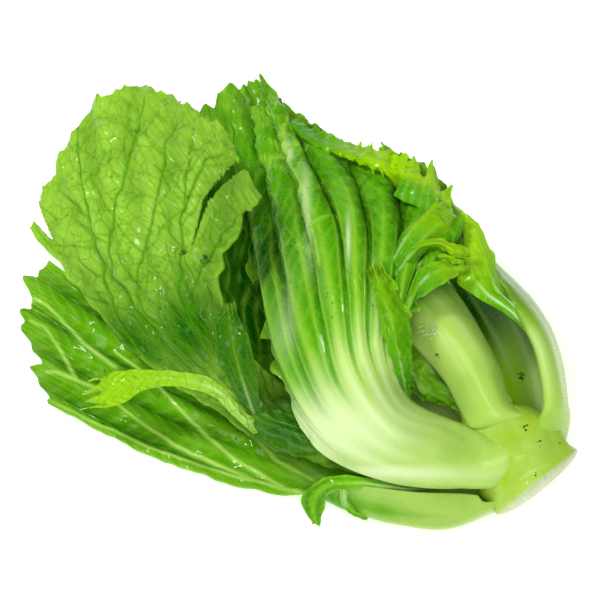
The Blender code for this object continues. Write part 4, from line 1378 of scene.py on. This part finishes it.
def add_node(tree, kind, settings=None, **sockets):
    """A node whose sockets take a value or another node's output. An underscore in a name is a space."""
    made = tree.nodes.new(kind)
    for name, value in (settings or {}).items():
        setattr(made, name, value)
    for name, value in sockets.items():
        socket = made.inputs[name.replace("_", " ")]
        if isinstance(value, bpy.types.NodeSocket):
            tree.links.new(value, socket)
        else:
            socket.default_value = value
    return made


def mixed(tree, share, first, second):
    """Colour `first` turned to `second` by a share."""
    made = tree.nodes.new("ShaderNodeMix")
    made.data_type = "RGBA"
    made.clamp_factor = True
    for index, value in ((0, share), (6, first), (7, second)):
        if isinstance(value, bpy.types.NodeSocket):
            tree.links.new(value, made.inputs[index])
        else:
            made.inputs[index].default_value = value if index == 0 else (*value, 1)
    return made.outputs[2]


def worked(tree, operation, first, second=0.0, third=0.0):
    """One step of arithmetic on sockets or numbers."""
    made = tree.nodes.new("ShaderNodeMath")
    made.operation = operation
    for index, value in enumerate((first, second, third)):
        if isinstance(value, bpy.types.NodeSocket):
            tree.links.new(value, made.inputs[index])
        else:
            made.inputs[index].default_value = value
    return made.outputs[0]


def spread(tree, value, low, high, start=0.0, end=1.0):
    """A value between low and high, as one between start and end."""
    return add_node(
        tree, "ShaderNodeMapRange", Value=value, From_Min=low, From_Max=high, To_Min=start, To_Max=end,
    ).outputs["Result"]


def mark(tree, name):
    """One of the marks that a leaf's mesh carries."""
    return add_node(tree, "ShaderNodeAttribute", {"attribute_name": name}).outputs["Fac"]


def product(tree, *factors):
    """The product of sockets and numbers."""
    whole = factors[0]
    for factor in factors[1:]:
        whole = worked(tree, "MULTIPLY", whole, factor)
    return whole


def noise(tree, places, scale, detail):
    """Noise at places that a socket gives."""
    return add_node(tree, "ShaderNodeTexNoise", Vector=places, Scale=scale, Detail=detail).outputs["Fac"]


def own_space(tree):
    """Places in the piece's own space."""
    return add_node(tree, "ShaderNodeTexCoord").outputs["Object"]


def woven(tree, *stretch):
    """Places measured across and along the surface, stretched or not."""
    places = add_node(tree, "ShaderNodeAttribute", {"attribute_name": "weave"}).outputs["Vector"]
    if stretch:
        places = add_node(tree, "ShaderNodeMapping", Vector=places, Scale=stretch).outputs["Vector"]
    return places


def new_finish(name):
    """A new material and its tree."""
    made = bpy.data.materials.new(name)
    made.use_nodes = True
    return made, made.node_tree


def wet_shader(tree, colour, roughness, normal):
    """A wet, slightly translucent plant surface."""
    shader = tree.nodes["Principled BSDF"]
    tree.links.new(colour, shader.inputs["Base Color"])
    tree.links.new(roughness, shader.inputs["Roughness"])
    tree.links.new(normal, shader.inputs["Normal"])
    for name, value in WET_SURFACE.items():
        shader.inputs[name].default_value = value


def leaf_finish(leaf, colours):
    """The finish of one leaf: pale stalk and ribs, green blade with net veins, painted shade in its folds
    and shaded places, painted highlights and painted light in a few spots, and a wet bumpy surface.
    """
    made, tree = new_finish(leaf["name"].replace("_", " "))
    patches = noise(tree, own_space(tree), PATCH_SCALE, 4.0)
    grain = noise(tree, woven(tree), GRAIN_SCALE, 6.0)
    streaks = noise(tree, woven(tree, *STREAK_STRETCH), 1.0, 3.0)
    net = add_node(
        tree, "ShaderNodeTexVoronoi", {"feature": "DISTANCE_TO_EDGE"},
        Vector=woven(tree), Scale=leaf["net_scale"],
    ).outputs["Distance"]
    patchy = spread(tree, patches, 0.3, 0.7, -GREEN_PATCHES, GREEN_PATCHES)
    green = worked(tree, "ADD", mark(tree, "green"), patchy)
    lines = product(tree, spread(tree, net, 0.0, NET_LINE, 1.0, 0.0), green)
    grown = worked(tree, "SUBTRACT", 1.0, mark(tree, "young"))
    rib_tone = mixed(tree, spread(tree, mark(tree, "along"), *RIBS_COLOUR), colours.white, colours.rib)
    vein_tones = {"dark": colours.dark_vein, "pale": colours.rib, "white": colours.pale_vein}
    vein_tone = vein_tones[leaf["vein_tone"]]
    tone = mixed(tree, green, colours.stalk, getattr(colours, leaf["blade_tone"]))
    # From the lowest layer up: how far each covers what is under it, and its colour
    layers = (
        # Painted shade in the folds
        (product(tree, mark(tree, "fold"), green, leaf["fold_shade"]), colours.shade_and_blotch_green),
        (spread(tree, patches, 0.45, 0.75, 0.0, leaf["blotches"]), colours.shade_and_blotch_green),
        # Painted shade in the shaded places
        (mark(tree, "shade"), colours.shade_and_blotch_green),
        # Young yellow-green, and painted light in the right leaf's hollow
        (mark(tree, "young"), colours.young),
        (spread(tree, streaks, 0.5, 0.8, 0.0, STREAK_SHOW), colours.rib),
        (product(tree, mark(tree, "rib"), RIB_COVER), rib_tone),
        # Pale places, and painted highlights on the front leaf's ridges
        (product(tree, mark(tree, "pale"), PALE_AND_HIGHLIGHT_COVER), colours.white),
        (product(tree, mark(tree, "vein"), VEIN_COVER), vein_tone),
        (product(tree, lines, leaf["net_show"], grown), vein_tone),
        (product(tree, mark(tree, "edge"), EDGE_COVER), colours.rib),
    )
    for share, colour in layers:
        tone = mixed(tree, share, tone, colour)
    roughness = spread(tree, grain, 0.3, 0.7, *LEAF_ROUGHNESS)
    height = worked(tree, "ADD", grain, product(tree, lines, NET_HEIGHT))
    height = worked(tree, "ADD", height, product(tree, streaks, STREAK_HEIGHT))
    bumpiness = spread(tree, green, 0.0, 1.0, STALK_BUMPINESS, leaf["bumpiness"])
    bump = add_node(tree, "ShaderNodeBump", Strength=bumpiness, Distance=LEAF_BUMP, Height=height)
    wet_shader(tree, tone, roughness, bump.outputs["Normal"])
    return made


def plain_finish(name, colour, roughness):
    """A plain finish in one colour."""
    made, tree = new_finish(name)
    shader = tree.nodes["Principled BSDF"]
    shader.inputs["Base Color"].default_value = (*colour, 1)
    shader.inputs["Roughness"].default_value = roughness
    return made


def dressed(name, mesh, finish, node):
    """A finished piece in place of a solid, which is hidden: it rides on the body."""
    mesh.materials.clear()
    mesh.materials.append(finish)
    piece = bpy.data.objects.new(name, mesh)
    bpy.context.scene.collection.objects.link(piece)
    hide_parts(node)
    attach(piece, "root")
    return piece


def build_leaf(context, leaf):
    """One leaf with its torn lobes, dressed over its solid."""
    sizes = context.scene.greens_sizes
    shells = [leaf_shell(part, sizes) for part in (leaf, *leaf.get("lobes", ()))]
    mesh = mesh_of(leaf["name"] + "_fine", shells)
    dressed(leaf["name"] + "_fine", mesh, leaf_finish(leaf, context.scene.greens_colours), leaf["name"])


def stump_shell():
    """The stump as rings round its axis, with a lumpy skin and a slightly bulging cut face."""
    around, rings = STUMP_GRID
    outline = np.array([(NEAR_AXIS, STUMP_LENGTH), *STUMP_OUTLINE[:-2]])
    outline[:, 1] = np.maximum(outline[:, 1], CUT_TRIM)
    outline = np.concatenate((outline, CUT_FACE))
    steps = np.concatenate(([0.0], np.cumsum(np.linalg.norm(np.diff(outline, axis=0), axis=1))))
    at = np.linspace(0, steps[-1], rings + 1)
    radius, height = np.interp(at, steps, outline[:, 0]), np.interp(at, steps, outline[:, 1])
    turn = np.linspace(0, 2 * math.pi, around, endpoint=False)
    base, axis, right, up = stump_frame()
    spokes = np.cos(turn)[:, None] * right + np.sin(turn)[:, None] * up
    skin = smooth(0, 2, height)[:, None]
    cos, sin = (np.tile(share * LUMP_RADIUS, rings + 1) for share in (np.cos(turn), np.sin(turn)))
    places = np.stack((cos, sin, np.repeat(height, around)), axis=1)
    lumps = crinkles(places, LUMP_LENGTH, LUMP_SEED).reshape(rings + 1, around)
    radius = radius[:, None] * (1 + LUMP_HEIGHT * lumps * skin)
    points = base + axis * height[:, None, None] + radius[..., None] * spokes
    points = points.reshape(-1, 3)
    i = np.arange(rings)[:, None] * around + np.arange(around)
    j = np.arange(rings)[:, None] * around + (np.arange(around) + 1) % around
    faces = np.stack((i, i + around, j + around, j), axis=-1).reshape(-1, 4)
    cut = smooth(CUT_TRIM + CUT_EDGE, CUT_TRIM - CUT_EDGE, height) * (at > steps[-1] * 0.5)
    facing = np.tile(smooth(*SPECKS_FACE, spokes @ eye_axes()[2]), rings + 1)
    marks = {"cut": np.repeat(cut, around), "specked": nearness(on_board(points), SPECKS) * facing}
    weave = np.stack((np.tile(turn, rings + 1), np.repeat(height, around), np.repeat(at, around)), axis=1)
    return points, faces, marks, weave


def stump_finish(colours):
    """The stump's finish: yellow-green skin, and a pale cut face with fine grain."""
    made, tree = new_finish("stump skin")
    patches = noise(tree, own_space(tree), 70.0, 5.0)
    grain = noise(tree, own_space(tree), 900.0, 4.0)
    rays = noise(tree, woven(tree, *RAY_STRETCH), 1.0, 4.0)
    tone = mixed(tree, spread(tree, patches, 0.35, 0.7), colours.skin, colours.stalk)
    cut_tone = mixed(tree, spread(tree, rays, 0.4, 0.7, 0.0, 0.5), colours.cut, colours.grain)
    tone = mixed(tree, mark(tree, "cut"), tone, cut_tone)
    roughness = spread(tree, grain, 0.3, 0.7, *STUMP_ROUGHNESS)
    bump = add_node(tree, "ShaderNodeBump", Strength=0.4, Distance=STUMP_BUMP, Height=grain)
    wet_shader(tree, tone, roughness, bump.outputs["Normal"])
    return made


def scatter_tree(name, marked, shape, settings, squash, finish):
    """A tree that scatters a small shape over a surface, as thickly as one of the surface's marks says."""
    tree = bpy.data.node_groups.new(name, "GeometryNodeTree")
    tree.interface.new_socket("Surface", in_out="INPUT", socket_type="NodeSocketGeometry")
    for label in ("Density", "Size", "Lean"):
        tree.interface.new_socket(label, in_out="INPUT", socket_type="NodeSocketFloat")
    tree.interface.new_socket("Seed", in_out="INPUT", socket_type="NodeSocketInt")
    tree.interface.new_socket("Pieces", in_out="OUTPUT", socket_type="NodeSocketGeometry")
    given = tree.nodes.new("NodeGroupInput").outputs
    mark_there = add_node(tree, "GeometryNodeInputNamedAttribute", {"data_type": "FLOAT"}, Name=marked)
    thickly = worked(tree, "MULTIPLY", mark_there.outputs["Attribute"], given["Density"])
    spots = add_node(
        tree, "GeometryNodeDistributePointsOnFaces",
        Mesh=given["Surface"], Density=thickly, Seed=given["Seed"],
    ).outputs
    small = add_node(tree, shape, **settings).outputs["Mesh"]
    small = add_node(tree, "GeometryNodeTransform", Geometry=small, Scale=(1, 1, squash)).outputs["Geometry"]
    sizes = add_node(tree, "FunctionNodeRandomValue", {"data_type": "FLOAT"}, Seed=given["Seed"])
    sizes.inputs[2].default_value, sizes.inputs[3].default_value = SIZE_SPREAD
    size = worked(tree, "MULTIPLY", sizes.outputs[1], given["Size"])
    placed_on = add_node(
        tree, "GeometryNodeInstanceOnPoints",
        Points=spots["Points"], Instance=small, Rotation=spots["Rotation"], Scale=size,
    ).outputs["Instances"]
    leans = add_node(tree, "FunctionNodeRandomValue", {"data_type": "FLOAT_VECTOR"}, Seed=given["Seed"])
    leans.inputs[0].default_value, leans.inputs[1].default_value = (-1, -1, -1), (1, 1, 1)
    lean = add_node(tree, "ShaderNodeVectorMath", {"operation": "SCALE"}, Scale=given["Lean"])
    tree.links.new(leans.outputs[0], lean.inputs[0])
    leaning = add_node(
        tree, "GeometryNodeRotateInstances", Instances=placed_on, Rotation=lean.outputs["Vector"],
    ).outputs["Instances"]
    real = add_node(tree, "GeometryNodeRealizeInstances", Geometry=leaning).outputs["Geometry"]
    finished = add_node(tree, "GeometryNodeSetMaterial", Geometry=real, Material=finish).outputs["Geometry"]
    tree.links.new(finished, tree.nodes.new("NodeGroupOutput").inputs["Pieces"])
    return tree


def scattered(mesh, tree, **values):
    """The pieces that a tree scatters over a mesh, as a plain mesh of their own."""
    holder = bpy.data.objects.new("scattering", mesh)
    bpy.context.scene.collection.objects.link(holder)
    growth = holder.modifiers.new("scattering", "NODES")
    growth.node_group = tree
    for item in tree.interface.items_tree:
        if item.in_out == "INPUT" and item.name in values:
            growth[item.identifier] = values[item.name]
    made = bpy.data.meshes.new_from_object(holder.evaluated_get(bpy.context.evaluated_depsgraph_get()))
    holder.modifiers.remove(growth)
    bpy.data.objects.remove(holder)
    if not made.polygons:
        raise RuntimeError(tree.name + " scattered nothing over " + mesh.name)
    made.shade_smooth()
    return made


def small_finish(name, colour, shade, roughness, clearness):
    """The finish of a scattered shape: mottled between two colours, unevenly glossy, and clear or not."""
    made, tree = new_finish(name)
    mottle = noise(tree, own_space(tree), MOTTLE_SCALE, 3.0)
    shader = tree.nodes["Principled BSDF"]
    tree.links.new(mixed(tree, spread(tree, mottle, 0.35, 0.65), colour, shade), shader.inputs["Base Color"])
    tree.links.new(spread(tree, mottle, 0.3, 0.7, roughness * 0.5, roughness), shader.inputs["Roughness"])
    shader.inputs["Transmission Weight"].default_value = clearness
    shader.inputs["IOR"].default_value = WATER_BENDS
    return made


class GREENS_OT_dew(bpy.types.Operator):
    """Scatter beads of water over the leaves"""

    bl_idname = "greens.dew"
    bl_label = "Dew"

    def execute(self, context):
        sizes, colours = context.scene.greens_sizes, context.scene.greens_colours
        finish = small_finish("dew", colours.dew, colours.dew_shade, 0.08, 1.0)
        tree = scatter_tree("dew", "dewy", "GeometryNodeMeshUVSphere", DEW_BEAD, 0.5, finish)
        values = {"Density": sizes.dew_density, "Size": sizes.dew_size, "Lean": 0.0}
        for number, leaf in enumerate((FRONT_LEAF, RIGHT_LEAF, LOWER_LEAF, BROAD_LEAF, HEART_OUTER)):
            surface = bpy.data.objects[leaf["name"] + "_fine"].data
            mesh = scattered(surface, tree, Seed=sizes.seed + number, **values)
            dressed(leaf["name"] + "_dew", mesh, finish, leaf["name"])
        return {"FINISHED"}


class GREENS_OT_hairs(bpy.types.Operator):
    """Grow the short pale hairs on the top leaf's stalk"""

    bl_idname = "greens.hairs"
    bl_label = "Hairs"

    def execute(self, context):
        sizes, colours = context.scene.greens_sizes, context.scene.greens_colours
        finish = small_finish("hairs", colours.hair, colours.white, 0.4, 0.0)
        tree = scatter_tree("hairs", "hairy", "GeometryNodeMeshCone", HAIR, 1.0, finish)
        mesh = scattered(
            bpy.data.objects["top_leaf_fine"].data, tree,
            Density=sizes.hair_density, Size=sizes.hair_length, Lean=HAIR_LEAN, Seed=sizes.seed,
        )
        dressed("top_leaf_hairs", mesh, finish, "top_leaf")
        return {"FINISHED"}


class GREENS_OT_specks(bpy.types.Operator):
    """Scatter small dark specks over the stump and the blemished places of the leaves"""

    bl_idname = "greens.specks"
    bl_label = "Specks"

    def execute(self, context):
        sizes, colours = context.scene.greens_sizes, context.scene.greens_colours
        finish = small_finish("specks", colours.speck, colours.shade_and_blotch_green, 0.6, 0.0)
        tree = scatter_tree("specks", "specked", "GeometryNodeMeshUVSphere", SPECK, 0.35, finish)
        for node in ("stump", "top_leaf", "right_leaf", "broad_leaf"):
            mesh = scattered(
                bpy.data.objects[node + "_fine"].data, tree,
                Density=sizes.speck_density, Size=sizes.speck_size, Lean=0.0, Seed=sizes.seed,
            )
            dressed(node + "_specks", mesh, finish, node)
        return {"FINISHED"}


class GREENS_OT_stump(bpy.types.Operator):
    """Build the stump with its cut face"""

    bl_idname = "greens.stump"
    bl_label = "Stump"

    def execute(self, context):
        mesh = mesh_of("stump_fine", [stump_shell()])
        dressed("stump_fine", mesh, stump_finish(context.scene.greens_colours), "stump")
        return {"FINISHED"}


class GREENS_OT_large_leaves(bpy.types.Operator):
    """Build the six large leaves with their torn lobes"""

    bl_idname = "greens.large_leaves"
    bl_label = "Large leaves"

    def execute(self, context):
        for leaf in (FRONT_LEAF, TOP_LEAF, RIGHT_LEAF, LOWER_LEAF, BROAD_LEAF, BACK_LEAF):
            build_leaf(context, leaf)
        return {"FINISHED"}


class GREENS_OT_heart(bpy.types.Operator):
    """Build the two crinkled young leaves at the heart"""

    bl_idname = "greens.heart"
    bl_label = "Heart leaves"

    def execute(self, context):
        for leaf in (HEART_OUTER, HEART_INNER):
            build_leaf(context, leaf)
        return {"FINISHED"}


def aimed(holder, at, look_at, roll=(0, 0, 1)):
    """Puts a lamp or camera at a point, looking at another, with its top towards roll."""
    at, look_at = Vector(at), Vector(look_at)
    back = (at - look_at).normalized()
    right = Vector(roll).cross(back).normalized()
    upright = Matrix((right, back.cross(right), back)).transposed().to_4x4()
    holder.matrix_world = Matrix.Translation(at) @ upright


def set_floor(scene):
    """The plain floor, which lights up its own shadows a little."""
    mesh = bpy.data.meshes.new("floor")
    half = FLOOR_REACH
    corners = [(-half, -half, 0), (half, -half, 0), (half, half, 0), (-half, half, 0)]
    mesh.from_pydata(corners, [], [(0, 1, 2, 3)])
    finish = plain_finish("floor", scene.greens_colours.floor, FLOOR_ROUGHNESS)
    shader = finish.node_tree.nodes["Principled BSDF"]
    shader.inputs["Emission Color"].default_value = (1, 1, 1, 1)
    shader.inputs["Emission Strength"].default_value = scene.greens_light.glow
    mesh.materials.append(finish)
    floor = bpy.data.objects.new("floor", mesh)
    scene.collection.objects.link(floor)


def set_light(scene, middle, right, up, toward):
    """The light from all round, and the three lamps."""
    light = scene.greens_light
    world = bpy.data.worlds.new("light from all round")
    world.use_nodes = True
    background = world.node_tree.nodes["Background"]
    background.inputs["Color"].default_value = (*light.sky_tint, 1)
    background.inputs["Strength"].default_value = light.sky
    scene.world = world
    for name, power in (("key light", light.key), ("top light", light.top), ("fill light", light.fill)):
        size, across, rise, ahead = LAMPS[name]
        lamp = bpy.data.lights.new(name, "AREA")
        lamp.energy = power
        lamp.size = size
        holder = bpy.data.objects.new(name, lamp)
        scene.collection.objects.link(holder)
        aimed(holder, middle + across * right + rise * up + ahead * toward, middle)


def set_camera(scene, middle, up, toward):
    """The camera at the eye point, so that the drawing board fills its picture."""
    camera = bpy.data.cameras.new("camera")
    camera.sensor_width = FILM_WIDTH
    camera.lens = FILM_WIDTH * EYE_DISTANCE / (2 * BOARD_MIDDLE * BOARD_SQUARE)
    camera.clip_start = NEAREST_SIGHT
    holder = bpy.data.objects.new("camera", camera)
    scene.collection.objects.link(holder)
    aimed(holder, middle + toward * EYE_DISTANCE * MM, middle, up)
    scene.camera = holder
    scene.view_settings.view_transform = "Standard"


class GREENS_OT_stage(bpy.types.Operator):
    """Set the floor, the soft light and the camera"""

    bl_idname = "greens.stage"
    bl_label = "Stage"

    def execute(self, context):
        scene = context.scene
        turn = np.array(placed())
        middle = placed() @ Vector((0, 0, BOARD_HEIGHT))
        right, up, toward = (Vector(turn[:3, :3] @ axis / MM) for axis in eye_axes())
        set_floor(scene)
        set_light(scene, middle, right, up, toward)
        set_camera(scene, middle, up, toward)
        return {"FINISHED"}


class GREENS_PT_panel(bpy.types.Panel):
    """The pieces of the head, with their sizes and colours"""

    bl_idname = "GREENS_PT_panel"
    bl_label = "Mustard greens"
    bl_space_type = "VIEW_3D"
    bl_region_type = "UI"
    bl_category = "Greens"

    def draw(self, context):
        for operator in OPERATORS:
            self.layout.operator(operator.bl_idname)
        scene = context.scene
        for settings in (scene.greens_sizes, scene.greens_colours, scene.greens_light):
            box = self.layout.box()
            for name in settings.__annotations__:
                box.prop(settings, name)


OPERATORS = (
    GREENS_OT_stump, GREENS_OT_large_leaves, GREENS_OT_heart, GREENS_OT_dew, GREENS_OT_hairs,
    GREENS_OT_specks, GREENS_OT_stage,
)
CLASSES = (GreensSizes, GreensColours, GreensLight, *OPERATORS, GREENS_PT_panel)


def register():
    """Registers the classes and gives the scene its settings."""
    for made in CLASSES:
        bpy.utils.register_class(made)
    bpy.types.Scene.greens_sizes = PointerProperty(type=GreensSizes)
    bpy.types.Scene.greens_colours = PointerProperty(type=GreensColours)
    bpy.types.Scene.greens_light = PointerProperty(type=GreensLight)


def unregister():
    """Takes the settings and the classes away again."""
    del bpy.types.Scene.greens_light
    del bpy.types.Scene.greens_colours
    del bpy.types.Scene.greens_sizes
    for made in reversed(CLASSES):
        bpy.utils.unregister_class(made)


def main():
    """Builds every piece in order."""
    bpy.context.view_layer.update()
    register()
    bpy.ops.greens.stump()
    bpy.ops.greens.large_leaves()
    bpy.ops.greens.heart()
    bpy.ops.greens.dew()
    bpy.ops.greens.hairs()
    bpy.ops.greens.specks()
    bpy.ops.greens.stage()


if __name__ == "__main__":
    main()
